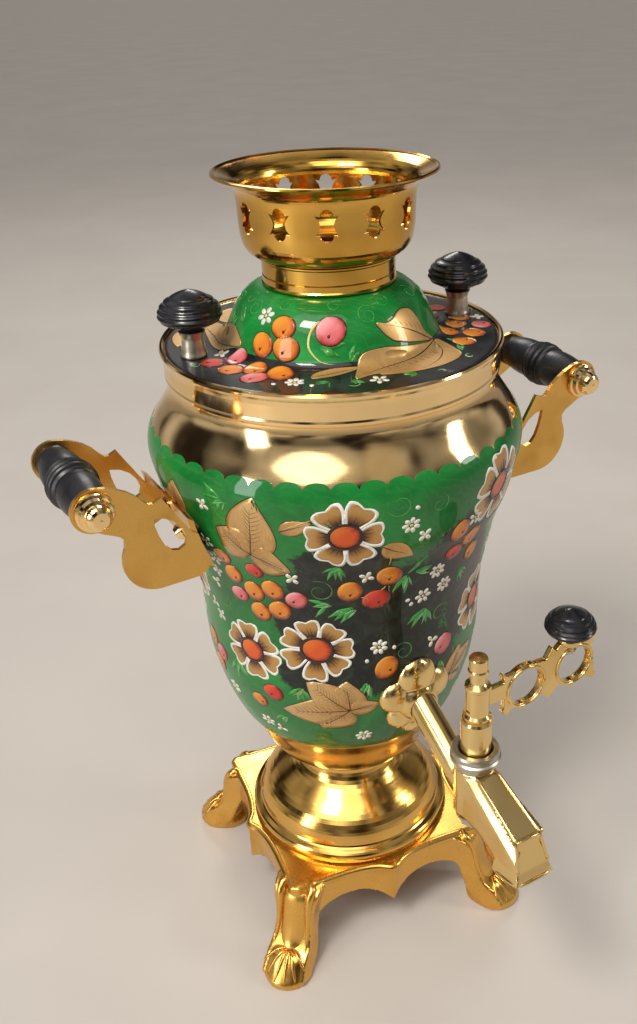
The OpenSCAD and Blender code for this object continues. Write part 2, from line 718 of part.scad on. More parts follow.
module grip() {
    translate([grip_x, 0, grip_z]) rotate([90, 0, 0])
        rotate_extrude($fn = fine) polygon(concat(
            [[2.1, -grip_line[len(grip_line) - 1][1]]],
            reversed([for (q = grip_line) [q[0], -q[1]]]),
            [for (i = [1 : len(grip_line) - 1]) grip_line[i]],
            [[2.1, grip_line[len(grip_line) - 1][1]]]));
}
module handle_grip_right() { color(black) grip(); }
module handle_grip_left() { color(black) rotate([0, 0, 180]) grip(); }

rod_half = 28.2;
module rod() {
    translate([grip_x, rod_half, grip_z]) rotate([90, 0, 0])
        cylinder(r = 2, h = 2 * rod_half, $fn = small);
}
module handle_rod_right() { color(steel) rod(); }
module handle_rod_left() { color(steel) rotate([0, 0, 180]) rod(); }

nut_y = plate_y + plate_t / 2 + gap;
module cap_nuts() {
    for (s = [0, 180]) translate([grip_x, 0, grip_z]) rotate([0, 0, s])
        rotate([-90, 0, 0]) translate([0, 0, nut_y])
            rotate_extrude($fn = small) polygon([
                [2.02, 0], [6.6, 0], [7.0, 0.5], [6.8, 1.6], [6.0, 2.0], [5.9, 2.4],
                [5.6, 3.6], [4.7, 4.0], [4.6, 4.4], [4.4, 6.2], [3.8, 7.1], [2.8, 7.7],
                [0, 7.9], [0, 4.8], [2.02, 4.8]]);
}
module handle_cap_nuts_right() { color(brass) cap_nuts(); }
module handle_cap_nuts_left() { color(brass) rotate([0, 0, 180]) cap_nuts(); }

web_out = 2.2; // screw heads start this far outside the body line
module handle_screws() {
    color(brass)
    for (s = [0, 180], z = screw_zs) rotate([0, 0, s])
        translate([screw_x(z), 0, z]) rotate([0, 90 + screw_tilt(z), 0])
            difference() {
                union() {
                    translate([0, 0, web_out]) cylinder(r1 = 3.4, r2 = 2.2, h = 1.9, $fn = small);
                    translate([0, 0, -5.4]) cylinder(r = 2, h = web_out + 6, $fn = small);
                }
                translate([-5, -0.35, web_out + 1.1]) cube([10, 0.7, 3]);
            }
}
module handle_nuts() {
    color(brass)
    for (s = [0, 180], z = screw_zs) rotate([0, 0, s])
        translate([screw_x(z), 0, z]) rotate([0, 90 + screw_tilt(z), 0])
            translate([0, 0, -body_wall - 3.1]) difference() {
                hex(7, 2.4);
                translate([0, 0, -1]) cylinder(r = 2.02, h = 5, $fn = small);
            }
}

// ---- heater and inlet ----

sleeve_r = 4.9;
loop_a = asin(pin_x / loop_r);
riser_y = loop_r * cos(loop_a);
flange_y = 50.2;
module heating_element() {
    color(steel)
    union() {
        translate([0, 0, loop_z]) rotate([0, 0, 90 + loop_a])
            rotate_extrude(angle = 360 - 2 * loop_a, $fn = fine)
                translate([loop_r, 0]) circle(r = sheath_r, $fn = small);
        for (s = [-1, 1]) translate([s * pin_x, 0, 0]) {
            translate([0, riser_y, loop_z]) sphere(r = sheath_r + 0.4, $fn = small);
            translate([0, riser_y, loop_z]) cylinder(r = sheath_r, h = inlet_z - loop_z, $fn = small);
            translate([0, riser_y, inlet_z]) sphere(r = sheath_r + 0.4, $fn = small);
            translate([0, riser_y, inlet_z]) rotate([-90, 0, 0])
                cylinder(r = sheath_r, h = flange_y - riser_y + 1, $fn = small);
            translate([0, flange_y - 2, inlet_z]) rotate([-90, 0, 0]) cylinder(r = 6.8, h = 2, $fn = small);
            translate([0, flange_y - 1, inlet_z]) rotate([-90, 0, 0])
                cylinder(r = sleeve_r, h = 17, $fn = small);
        }
    }
}

module heater_gaskets() {
    color(grey_rubber)
    difference() {
        intersection() {
            for (s = [-1, 1]) translate([s * pin_x, flange_y + gap, inlet_z]) rotate([-90, 0, 0])
                cylinder(r = 6.8, h = 8, $fn = small);
            body_room(gap, 126, 156);
        }
        for (s = [-1, 1]) translate([s * pin_x, 40, inlet_z]) rotate([-90, 0, 0])
            cylinder(r = sleeve_r + gap, h = 30, $fn = small);
    }
}

shroud_floor = 61.2;
shroud_end = 80;
module inlet_shroud() {
    color(brass)
    difference() {
        translate([0, 45, inlet_z]) rotate([-90, 0, 0])
            cylinder(r = shroud_r, h = shroud_end - 45, $fn = fine);
        translate([0, shroud_floor, inlet_z]) rotate([-90, 0, 0])
            cylinder(r = shroud_r - 1.6, h = 40, $fn = fine);
        body_solid(gap, 116, 164);
        for (s = [-1, 1]) translate([s * pin_x, 40, inlet_z]) rotate([-90, 0, 0])
            cylinder(r = sleeve_r + gap, h = 30, $fn = small);
    }
}

module heater_nuts() {
    color(nickel)
    for (s = [-1, 1]) translate([s * pin_x, shroud_floor + gap, inlet_z]) rotate([-90, 0, 0])
        difference() {
            rotate([0, 0, 30]) hex(12.4, 3.6);
            translate([0, 0, -1]) cylinder(r = sleeve_r + 0.02, h = 8, $fn = small);
        }
}

pin_y0 = flange_y + 16 + gap;
module inlet_pins() {
    color(nickel)
    for (s = [-1, 1]) translate([s * pin_x, pin_y0, inlet_z]) rotate([-90, 0, 0])
        union() {
            // foot held in the insulator, then the bare pin and its tapered tip
            cylinder(r = 3.6, h = 2.5, $fn = small);
            translate([0, 0, 2]) cylinder(r = 3, h = 9.4, $fn = small);
            translate([0, 0, 11.4]) cylinder(r1 = 3, r2 = 2, h = 1, $fn = small);
        }
}

module pin_insulators() {
    color(ceramic)
    for (s = [-1, 1]) translate([s * pin_x, pin_y0, inlet_z]) rotate([-90, 0, 0])
        difference() {
            cylinder(r = 4.7, h = 2.4, $fn = small);
            translate([0, 0, -1]) cylinder(r = 3.62, h = 6, $fn = small);
        }
}

// ---- nodes ----

plinth();
pedestal();
waist_collar();
body_bottom();
tie_bolt();
tie_gasket();
tie_washer();
tie_nut();
body_shell();
neck_ring();
lid_shell();
lid_skirt();
lid_knob_stems();
lid_knobs();
lid_knob_screws();
crown_collar();
crown_bowl();
tap_rosette();
tap_body();
tap_gasket();
tap_lock_nut();
tap_collar();
tap_plug();
plug_washer();
plug_nut();
tap_lever();
tap_knob();
tap_knob_screw();
handle_bracket_right();
handle_bracket_left();
handle_grip_right();
handle_grip_left();
handle_rod_right();
handle_rod_left();
handle_cap_nuts_right();
handle_cap_nuts_left();
handle_screws();
handle_nuts();
heating_element();
heater_gaskets();
heater_nuts();
inlet_shroud();
inlet_pins();
pin_insulators();
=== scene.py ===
import json
import math
import random

import bpy
import bmesh
import numpy as np
from mathutils import Matrix, Vector
from mathutils.bvhtree import BVHTree


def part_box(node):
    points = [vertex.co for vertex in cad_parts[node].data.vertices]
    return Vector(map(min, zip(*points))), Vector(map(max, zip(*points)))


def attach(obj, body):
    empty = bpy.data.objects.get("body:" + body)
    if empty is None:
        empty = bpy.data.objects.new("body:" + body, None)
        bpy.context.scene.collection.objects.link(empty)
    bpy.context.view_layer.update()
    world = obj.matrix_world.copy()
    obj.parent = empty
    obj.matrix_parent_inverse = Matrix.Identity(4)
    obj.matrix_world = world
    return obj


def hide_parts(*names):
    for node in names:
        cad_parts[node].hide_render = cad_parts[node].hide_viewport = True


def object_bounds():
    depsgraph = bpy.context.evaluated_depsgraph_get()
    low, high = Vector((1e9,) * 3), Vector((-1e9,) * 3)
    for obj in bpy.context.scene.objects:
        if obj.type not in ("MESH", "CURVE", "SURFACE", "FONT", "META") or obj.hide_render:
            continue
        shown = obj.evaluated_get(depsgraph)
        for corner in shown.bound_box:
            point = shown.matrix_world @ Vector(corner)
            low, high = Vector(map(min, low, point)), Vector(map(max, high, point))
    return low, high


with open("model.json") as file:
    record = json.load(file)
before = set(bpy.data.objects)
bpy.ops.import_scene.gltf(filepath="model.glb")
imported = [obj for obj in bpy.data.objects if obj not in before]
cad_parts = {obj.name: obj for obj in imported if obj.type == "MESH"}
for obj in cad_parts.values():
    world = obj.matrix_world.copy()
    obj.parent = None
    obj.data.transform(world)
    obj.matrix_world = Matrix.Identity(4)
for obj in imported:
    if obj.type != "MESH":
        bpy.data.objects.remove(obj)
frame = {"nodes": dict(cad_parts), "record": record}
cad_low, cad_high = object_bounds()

MM = 0.001
nodes = frame["nodes"]
scene = bpy.context.scene

# ---------------------------------------------------------------- camera
# eye 369 mm from the body axis and 392 mm above the table, 28.8 degrees to the tap's left
def make_camera():
    turn = math.radians(-28.8)
    pitch, roll, pan = (math.radians(a) for a in (28.38, -1.76, 1.07))
    eye = Vector((0, -0.36896, 0.39202))
    fwd = Vector((math.sin(pan) * math.cos(pitch), math.cos(pan) * math.cos(pitch), -math.sin(pitch)))
    right = Vector((math.cos(pan), -math.sin(pan), 0))
    up = right.cross(fwd)
    r2 = right * math.cos(roll) + up * math.sin(roll)
    u2 = up * math.cos(roll) - right * math.sin(roll)
    spin = Matrix.Rotation(turn, 3, "Z")
    m = Matrix((r2, u2, -fwd)).transposed()
    data = bpy.data.cameras.new("camera")
    data.sensor_width = 36
    data.lens = 36.04
    data.shift_x = -0.036
    data.shift_y = -0.0017
    data.clip_start, data.clip_end = 0.01, 20
    cam = bpy.data.objects.new("camera", data)
    cam.matrix_world = Matrix.Translation(spin @ eye) @ (spin @ m).to_4x4()
    scene.collection.objects.link(cam)
    scene.camera = cam


make_camera()


# ---------------------------------------------------------------- studio
def area_light(name, place, aim, size, power, colour):
    data = bpy.data.lights.new(name, "AREA")
    data.shape = "RECTANGLE"
    data.size, data.size_y = size
    data.energy = power
    data.color = colour
    ob = bpy.data.objects.new(name, data)
    ob.location = place
    ob.rotation_mode = "QUATERNION"
    ob.rotation_quaternion = (Vector(aim) - Vector(place)).to_track_quat("-Z", "Y")
    scene.collection.objects.link(ob)


centre = (cad_low + cad_high) / 2
mid = Vector((0, 0, centre.z))
area_light("key", (-0.75, -0.35, 1.35), mid, (0.32, 0.32), 11, (1.0, 0.95, 0.88))
area_light("window", (-1.25, -0.2, 0.5), mid, (0.28, 0.75), 5, (0.96, 0.98, 1.0))
area_light("right", (1.05, -0.75, 0.85), mid, (0.22, 0.6), 4.5, (1.0, 0.97, 0.93))
area_light("back", (0.5, 1.1, 1.1), mid, (0.5, 0.4), 5, (1.0, 0.97, 0.93))

sun = bpy.data.lights.new("room", "SUN")
sun.energy = 1.1
sun.angle = math.radians(50)
sun.color = (1.0, 0.97, 0.94)
sun_ob = bpy.data.objects.new("room", sun)
sun_ob.rotation_mode = "QUATERNION"
sun_ob.rotation_quaternion = Vector((0.45, 0.35, -1.0)).to_track_quat("-Z", "Y")
scene.collection.objects.link(sun_ob)


# ---------------------------------------------------------------- node helpers
class Nodes:
    """Helpers that add nodes to one node tree."""

    def __init__(self, tree):
        self.t = tree

    def put(self, socket, value):
        if isinstance(value, bpy.types.NodeSocket):
            self.t.links.new(value, socket)
        else:
            socket.default_value = value

    def node(self, kind, inputs=None, **values):
        n = self.t.nodes.new(kind)
        for k, v in values.items():
            setattr(n, k, v)
        for k, v in (inputs or {}).items():
            self.put(n.inputs[k], v)
        return n

    def coords(self, kind="Object"):
        return self.node("ShaderNodeTexCoord").outputs[kind]

    def uv(self):
        return self.node("ShaderNodeUVMap", uv_map="motif").outputs["UV"]

    def part(self, vec, axis):
        return self.node("ShaderNodeSeparateXYZ", {0: vec}).outputs[axis]

    def scaled(self, vec, scale):
        return self.node("ShaderNodeMapping", {"Vector": vec, "Scale": scale}).outputs["Vector"]

    def noise(self, vec, scale, detail=3.0, rough=0.55, distortion=0.0):
        return self.node("ShaderNodeTexNoise", {
            "Vector": vec, "Scale": scale, "Detail": detail, "Roughness": rough,
            "Distortion": distortion}).outputs["Fac"]

    def wave(self, vec, scale, direction="Z", distortion=0.0, detail=1.0):
        return self.node("ShaderNodeTexWave", {
            "Vector": vec, "Scale": scale, "Distortion": distortion, "Detail": detail},
            bands_direction=direction).outputs["Fac"]

    def ramp(self, fac, stops):
        n = self.node("ShaderNodeValToRGB", {"Fac": fac})
        r = n.color_ramp
        while len(r.elements) > 1:
            r.elements.remove(r.elements[-1])
        r.elements[0].position = stops[0][0]
        r.elements[0].color = rgba(stops[0][1])
        for place, colour in stops[1:]:
            r.elements.new(place).color = rgba(colour)
        return n.outputs["Color"]

    def span(self, fac, a, b, c, d):
        return self.node("ShaderNodeMapRange", {
            "Value": fac, "From Min": a, "From Max": b, "To Min": c, "To Max": d}).outputs["Result"]

    def math(self, op, a, b):
        return self.node("ShaderNodeMath", {0: a, 1: b}, operation=op).outputs[0]

    def mix(self, fac, a, b, blend="MIX"):
        a, b = (rgba(x) if isinstance(x, (tuple, list)) else x for x in (a, b))
        return self.node("ShaderNodeMix", {6: a, 7: b, "Factor": fac},
                         data_type="RGBA", blend_type=blend).outputs[2]

    def attribute(self, name):
        return self.node("ShaderNodeAttribute", attribute_name=name).outputs["Fac"]

    def bump(self, height, strength, distance, normal=None):
        n = self.node("ShaderNodeBump", {"Height": height, "Strength": strength, "Distance": distance})
        if normal is not None:
            self.put(n.inputs["Normal"], normal)
        return n.outputs["Normal"]


class Mat(Nodes):
    """One material around a Principled shader."""

    def __init__(self, name):
        self.m = bpy.data.materials.new(name)
        self.m.use_nodes = True
        super().__init__(self.m.node_tree)
        self.bsdf = next(n for n in self.t.nodes if n.type == "BSDF_PRINCIPLED")

    def set(self, **values):
        for k, v in values.items():
            self.put(self.bsdf.inputs[k.replace("_", " ")], v)


def rgba(c):
    return (*c, 1.0) if len(c) == 3 else tuple(c)


def metal(name, light, dark, rough=(0.08, 0.2), turned=0.0, cast=0.0, soft=0.0):
    """Polished metal with wiped patches in its gloss, fine turning lines or a cast grain."""
    k = Mat(name)
    co = k.coords()
    drift = k.noise(co, 28.0, 3.0, 0.55)
    wiped = k.noise(k.scaled(co, (1, 1, 0.45)), 70.0, 4.0, 0.62, 0.4)
    grain = k.noise(co, 2600.0, 2.0, 0.6)
    k.set(
        Base_Color=k.ramp(drift, [(0.32, dark), (0.5, light),
        (0.66, tuple(0.93 * a + 0.07 * b for a, b in zip(light, dark)))]),
        Metallic=1.0,
        Roughness=k.span(wiped, 0.3, 0.72, rough[0], rough[1]),
    )
    height = k.noise(co, 42.0, 2.0, 0.5)
    normal = k.bump(height, 0.05 + soft, 0.0012)
    if turned:
        lines = k.noise(k.scaled(co, (6, 6, 900)), 4.0, 3.0, 0.7)
        normal = k.bump(lines, turned, 0.00004, normal)
    if cast:
        normal = k.bump(grain, cast, 0.00006, normal)
    k.set(Normal=normal)
    return k.m


brass = metal("brass_polished", (0.95, 0.68, 0.33), (0.86, 0.56, 0.22), (0.06, 0.15), turned=0.12)
brass_gold = metal("brass_golden", (0.82, 0.49, 0.13), (0.66, 0.36, 0.07), (0.1, 0.22), turned=0.16)
brass_crown = metal("brass_crown", (0.74, 0.43, 0.09), (0.58, 0.31, 0.05), (0.09, 0.2), turned=0.14)
brass_cast = metal("brass_cast", (0.80, 0.46, 0.11), (0.64, 0.33, 0.06), (0.2, 0.34), cast=0.04, soft=0.05)
brass_tap = metal("brass_tap", (0.84, 0.61, 0.26), (0.72, 0.48, 0.16), (0.12, 0.26), cast=0.08, soft=0.03)
brass_sheet = metal("brass_sheet", (0.76, 0.45, 0.12), (0.6, 0.33, 0.07), (0.2, 0.34), soft=0.08)
nickel = metal("nickel_plate", (0.56, 0.53, 0.45), (0.42, 0.40, 0.34), (0.24, 0.42), turned=0.1, cast=0.1)
steel = metal("steel_satin", (0.58, 0.58, 0.6), (0.48, 0.48, 0.5), (0.24, 0.4), turned=0.3)


def lacquer(name, colour, rough=0.4, coat=0.62, bump=0.06, scale=900.0, metallic=0.0):
    """Paint under one clear glossy varnish; colour is a function that takes the Mat."""
    k = Mat(name)
    k.set(
        Base_Color=colour(k),
        Roughness=rough,
        Metallic=metallic,
        Specular_IOR_Level=0.12,
        Coat_Weight=coat,
        Coat_Roughness=0.04,
        Normal=k.bump(k.noise(k.coords(), scale, 2.0, 0.6), bump, 0.00005),
    )
    # the varnish itself is slightly wavy
    k.set(Coat_Normal=k.bump(k.noise(k.coords(), 60.0, 2.0, 0.5), 0.05, 0.001))
    return k.m


def green_colour(k):
    co = k.coords()
    broad = k.noise(co, 26.0, 3.0, 0.6, 0.6)
    strokes = k.wave(co, 120.0, "DIAGONAL", 14.0, 3.0)
    base = k.ramp(broad, [(0.3, (0.003, 0.085, 0.014)), (0.5, (0.006, 0.15, 0.024)),
        (0.7, (0.014, 0.24, 0.04))])
    lit = k.mix(k.span(strokes, 0.7, 1.0, 0.0, 0.1), base, (0.05, 0.34, 0.05))
    dark = k.attribute("dark")
    ragged = k.math("ADD", dark, k.span(k.noise(co, 210.0, 4.0, 0.65, 1.2), 0.2, 0.8, -0.3, 0.3))
    mask = k.span(ragged, 0.42, 0.6, 0.0, 1.0)
    night = k.ramp(k.noise(co, 160.0, 3.0, 0.6, 0.8),
        [(0.45, (0.005, 0.006, 0.005)), (0.62, (0.012, 0.022, 0.012)), (0.75, (0.02, 0.05, 0.022))])
    return k.mix(mask, lit, night)


def lid_green_colour(k):
    co = k.coords()
    broad = k.noise(co, 34.0, 3.0, 0.6, 0.6)
    strokes = k.wave(co, 150.0, "DIAGONAL", 16.0, 3.0)
    base = k.ramp(broad, [(0.3, (0.004, 0.12, 0.018)), (0.55, (0.008, 0.2, 0.032)),
        (0.72, (0.02, 0.3, 0.055))])
    return k.mix(k.span(strokes, 0.72, 1.0, 0.0, 0.12), base, (0.06, 0.4, 0.07))


def black_colour(k):
    return k.ramp(k.noise(k.coords(), 120.0, 3.0, 0.6),
        [(0.4, (0.006, 0.007, 0.008)), (0.7, (0.02, 0.022, 0.026))])


def two_tone(a, b, scale=420.0):
    return lambda k: k.ramp(k.noise(k.coords(), scale, 3.0, 0.65), [(0.35, a), (0.65, b)])


def berry_colour(core, rim, blush):
    """Colour that deepens to its rim, with a lit side; uv runs -1 to 1 over the berry."""
    def make(k):
        uv = k.uv()
        reach = k.node("ShaderNodeVectorMath", {0: uv}, operation="LENGTH").outputs["Value"]
        far = k.math("ADD", reach, k.span(k.noise(k.coords(), 500.0, 3.0, 0.6), 0.2, 0.8, -0.12, 0.12))
        body = k.ramp(far, [(0.0, core), (0.55, core), (0.86, rim), (1.0, tuple(0.6 * x for x in rim))])
        lit = k.math("SUBTRACT", k.part(uv, "Y"), k.part(uv, "X"))
        return k.mix(k.span(lit, 0.1, 1.1, 0.0, 0.75), body, blush)
    return make


def gold_colour(k):
    """Bronze paint: darker towards the middle of a flower (uv y = 0) with brushed streaks along it."""
    uv = k.uv()
    streak = k.noise(k.scaled(uv, (9, 1.2, 1)), 2.2, 3.0, 0.6)
    along = k.math("ADD", k.part(uv, "Y"), k.span(streak, 0.25, 0.75, -0.12, 0.12))
    return k.ramp(along, [(0.12, (0.05, 0.02, 0.008)), (0.34, (0.3, 0.14, 0.035)),
        (0.55, (0.5, 0.27, 0.075)), (1.0, (0.56, 0.33, 0.11))])


def leaf_colour(k):
    uv = k.uv()
    streak = k.noise(k.scaled(uv, (5, 2, 1)), 3.0, 3.0, 0.6)
    along = k.math("ADD", k.part(uv, "Y"), k.span(streak, 0.25, 0.75, -0.25, 0.25))
    return k.ramp(along, [(0.0, (0.42, 0.21, 0.06)), (0.5, (0.6, 0.36, 0.13)), (1.0, (0.66, 0.42, 0.18))])


paint_green = lacquer("paint_green", green_colour)
paint_lid = lacquer("paint_lid_green", lid_green_colour)
paint_black = lacquer("paint_black", black_colour)
paint_gold = lacquer("paint_gold_petal", gold_colour, 0.34, metallic=0.55)
paint_leaf = lacquer("paint_gold_leaf", leaf_colour, 0.34, metallic=0.55)
paint_white = lacquer("paint_white", two_tone((0.68, 0.66, 0.58), (0.86, 0.84, 0.78)))
paint_line = lacquer("paint_dark_line", two_tone((0.02, 0.008, 0.006), (0.05, 0.018, 0.01)))
paint_yellow = lacquer("paint_yellow", two_tone((0.62, 0.5, 0.12), (0.8, 0.7, 0.3)))
paint_orange = lacquer("paint_orange", berry_colour((0.66, 0.2, 0.02), (0.36, 0.06, 0.01),
    (0.82, 0.36, 0.04)))
paint_red = lacquer("paint_red", berry_colour((0.55, 0.03, 0.012), (0.28, 0.01, 0.008), (0.78, 0.1, 0.05)))
paint_pink = lacquer("paint_pink", berry_colour((0.66, 0.14, 0.15), (0.45, 0.05, 0.05), (0.84, 0.4, 0.4)))
paint_core = lacquer("paint_flower_core", berry_colour((0.62, 0.09, 0.012), (0.3, 0.015, 0.008),
    (0.74, 0.2, 0.02)))
paint_leaf_green = lacquer("paint_leaf_green", two_tone((0.02, 0.2, 0.03), (0.07, 0.4, 0.07)))
paint_pale_green = lacquer("paint_pale_green", two_tone((0.1, 0.36, 0.12), (0.24, 0.5, 0.22)))


def plastic(name, rough, scale):
    k = Mat(name)
    co = k.coords()
    k.set(
        Base_Color=k.ramp(k.noise(co, 90.0, 3.0, 0.6),
        [(0.35, (0.006, 0.006, 0.008)), (0.65, (0.014, 0.014, 0.018))]),
        Roughness=k.span(k.noise(co, 160.0, 4.0, 0.6), 0.3, 0.7, rough - 0.06, rough + 0.08),
        Normal=k.bump(k.noise(co, scale, 2.0, 0.6), 0.12, 0.00006),
    )
    return k.m


black_knob = plastic("plastic_black_gloss", 0.2, 1500.0)
black_grip = plastic("plastic_black_satin", 0.36, 2200.0)


def plain(name, a, b, rough, bump=0.2):
    k = Mat(name)
    co = k.coords()
    k.set(
        Base_Color=k.ramp(k.noise(co, 300.0, 3.0, 0.6), [(0.35, a), (0.65, b)]),
        Roughness=k.span(k.noise(co, 200.0, 3.0, 0.6), 0.3, 0.7, rough - 0.08, rough + 0.08),
        Normal=k.bump(k.noise(co, 1200.0, 2.0, 0.6), bump, 0.0001),
    )
    return k.m


rubber = plain("rubber_seal", (0.02, 0.02, 0.02), (0.05, 0.05, 0.05), 0.7)
ceramic = plain("insulator_glaze", (0.62, 0.58, 0.5), (0.74, 0.71, 0.64), 0.35)


# ---------------------------------------------------------------- mesh helpers
def cr(a, b, c, d, t):
    return 0.5 * (2 * b + (c - a) * t + (2 * a - 5 * b + 4 * c - d) * t * t
                  + (3 * b - a - 3 * c + d) * t ** 3)


def smooth(p, n):
    p = np.array(p, float)
    out = []
    for i in range(len(p) - 1):
        for k in range(n):
            out.append(cr(p[max(i - 1, 0)], p[i], p[i + 1], p[min(i + 2, len(p) - 1)], k / n))
    out.append(p[-1])
    return np.array(out)


def resample(p, step):
    """Points along the line p about step apart."""
    p = np.array(p, float)
    d = np.r_[0, np.cumsum(np.linalg.norm(np.diff(p, axis=0), axis=1))]
    n = max(2, int(round(d[-1] / step)) + 1)
    s = np.linspace(0, d[-1], n)
    return np.column_stack([np.interp(s, d, p[:, k]) for k in range(p.shape[1])])


def new_object(name, verts, faces, mats, body, slot=None, replaces=(), mat_index=None, uvs=None):
    me = bpy.data.meshes.new(name)
    me.from_pydata([tuple(v) for v in verts], [], [tuple(f) for f in faces])
    for m in mats:
        me.materials.append(m)
    if mat_index is not None:
        me.polygons.foreach_set("material_index", np.array(mat_index, np.int32))
    me.polygons.foreach_set("use_smooth", np.full(len(me.polygons), True))
    if uvs is not None:
        layer = me.uv_layers.new(name="motif")
        loops = np.zeros(len(me.loops), np.int32)
        me.loops.foreach_get("vertex_index", loops)
        layer.data.foreach_set("uv", np.array(uvs, np.float32)[loops].ravel())
    me.update()
    ob = bpy.data.objects.new(name, me)
    scene.collection.objects.link(ob)
    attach(ob, body)
    if replaces:
        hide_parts(*replaces)
    return ob


def lathe(profile, seg):
    """Verts and faces of a piece turned about Z; the closed profile is [r, z] in mm."""
    p = np.array(profile, float)
    n = len(p)
    a = np.arange(seg) * 2 * math.pi / seg
    verts = np.zeros((seg, n, 3))
    verts[:, :, 0] = np.sin(a)[:, None] * p[:, 0]
    verts[:, :, 1] = -np.cos(a)[:, None] * p[:, 0]
    verts[:, :, 2] = p[:, 1]
    faces = []
    for i in range(seg):
        j = (i + 1) % seg
        for k in range(n):
            m = (k + 1) % n
            faces.append((i * n + k, j * n + k, j * n + m, i * n + m))
    return verts.reshape(-1, 3) * MM, faces


def offset(p, t):
    """The line p moved to its left by t, that is outwards for a falling line."""
    p = np.array(p, float)
    d = np.gradient(p, axis=0)
    d /= np.linalg.norm(d, axis=1)[:, None]
    return p + np.column_stack([-d[:, 1], d[:, 0]]) * t


def sharpen(ob, degrees=35):
    """Smooth shading that breaks at edges sharper than the angle."""
    me = ob.data
    bm = bmesh.new()
    bm.from_mesh(me)
    for e in bm.edges:
        e.smooth = not (len(e.link_faces) == 2 and e.calc_face_angle(0) > math.radians(degrees))
    bm.to_mesh(me)
    bm.free()


# ---------------------------------------------------------------- body of the samovar
body_control = [
    [31.0, 82], [35.6, 86], [42.4, 100], [47.9, 110], [51.9, 120], [54.7, 130], [56.85, 141.3],
    [57.7, 155], [58.4, 170], [60.6, 184], [64.2, 200], [68.0, 210], [70.5, 221], [72.3, 231],
    [71.3, 237], [68.8, 241.5], [65.4, 246.5], [62.7, 251], [61.4, 254.5]]
body_line = resample(smooth(body_control, 8), 1.6)
wall = 1.2
SEG = 256

body_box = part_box("body_shell")
outer = np.vstack([body_line, [[61.4, 258], [61.4, body_box[1].z / MM]]])
inner = offset(outer, wall)[::-1]
inner[:, 0] = np.minimum(inner[:, 0], 61.4 - wall + 12)
inner[0, 1] = outer[-1, 1]
inner[-1, 1] = outer[0, 1]
verts, faces = lathe(np.vstack([outer, inner]), SEG)
body = new_object("body_metal", verts, faces, [brass], "samovar", "painted_body", ["body_shell"])
sharpen(body)


class Turned:
    """A turned surface given by its profile line in mm."""

    def __init__(self, line):
        self.p = np.array(line, float)
        self.s = np.r_[0, np.cumsum(np.linalg.norm(np.diff(self.p, axis=0), axis=1))]
        d = np.gradient(self.p, self.s, axis=0)
        d /= np.linalg.norm(d, axis=1)[:, None]
        self.n = np.column_stack([d[:, 1], -d[:, 0]])

    def at(self, s):
        return np.column_stack([np.interp(s, self.s, self.p[:, k]) for k in (0, 1)])

    def s_of_z(self, z):
        return float(np.interp(z, self.p[:, 1], self.s))

    def s_of_r(self, r):
        o = np.argsort(self.p[:, 0])
        return float(np.interp(r, self.p[o, 0], self.s[o]))

    def place(self, theta, s, h):
        """Points in m at angles theta, distances s along the line and heights h over it."""
        theta, s = np.atleast_1d(theta), np.atleast_1d(s)
        q = self.at(s)
        n = np.column_stack([np.interp(s, self.s, self.n[:, k]) for k in (0, 1)])
        n /= np.linalg.norm(n, axis=1)[:, None]
        q = q + n * (np.zeros(len(s)) + h)[:, None]
        return np.column_stack([q[:, 0] * np.sin(theta), -q[:, 0] * np.cos(theta), q[:, 1]]) * MM


surface = Turned(body_line)
low_edge, scallop_low, scallop_high, scallops = 108.5, 238.3, 240.6, 47
PAINT = 0.06    # thickness of the ground paint in mm
LAYER = 0.035   # each layer of motifs lies this much higher
ROOT = -0.12    # the edge of a motif reaches this far into the body


def scallop_z(theta):
    t = (theta * scallops / (2 * math.pi)) % 1.0
    return scallop_low + (scallop_high - scallop_low) * np.sqrt(np.clip(1 - (2 * t - 1) ** 2, 0, 1))


dark_spots = [  # angle from the tap, height, half width (degrees), half height
    (-35, 190, 13, 17), (-22, 176, 20, 28), (-6, 178, 20, 26), (4, 150, 17, 18), (-30, 152, 26, 12),
    (14, 196, 16, 22), (24, 180, 12, 26), (-46, 178, 8, 12), (-28, 208, 16, 8), (26, 222, 9, 16)]


def darkness(theta_deg, z):
    d = np.zeros_like(theta_deg)
    for turn in (0, 180):
        for a, h, wa, wh in dark_spots:
            u = (theta_deg - a - turn + 180) % 360 - 180
            q = (u / wa) ** 2 + ((z - h) / wh) ** 2
            d = np.maximum(d, 1.25 - 0.75 * q)
    return np.clip(d, 0, 1)


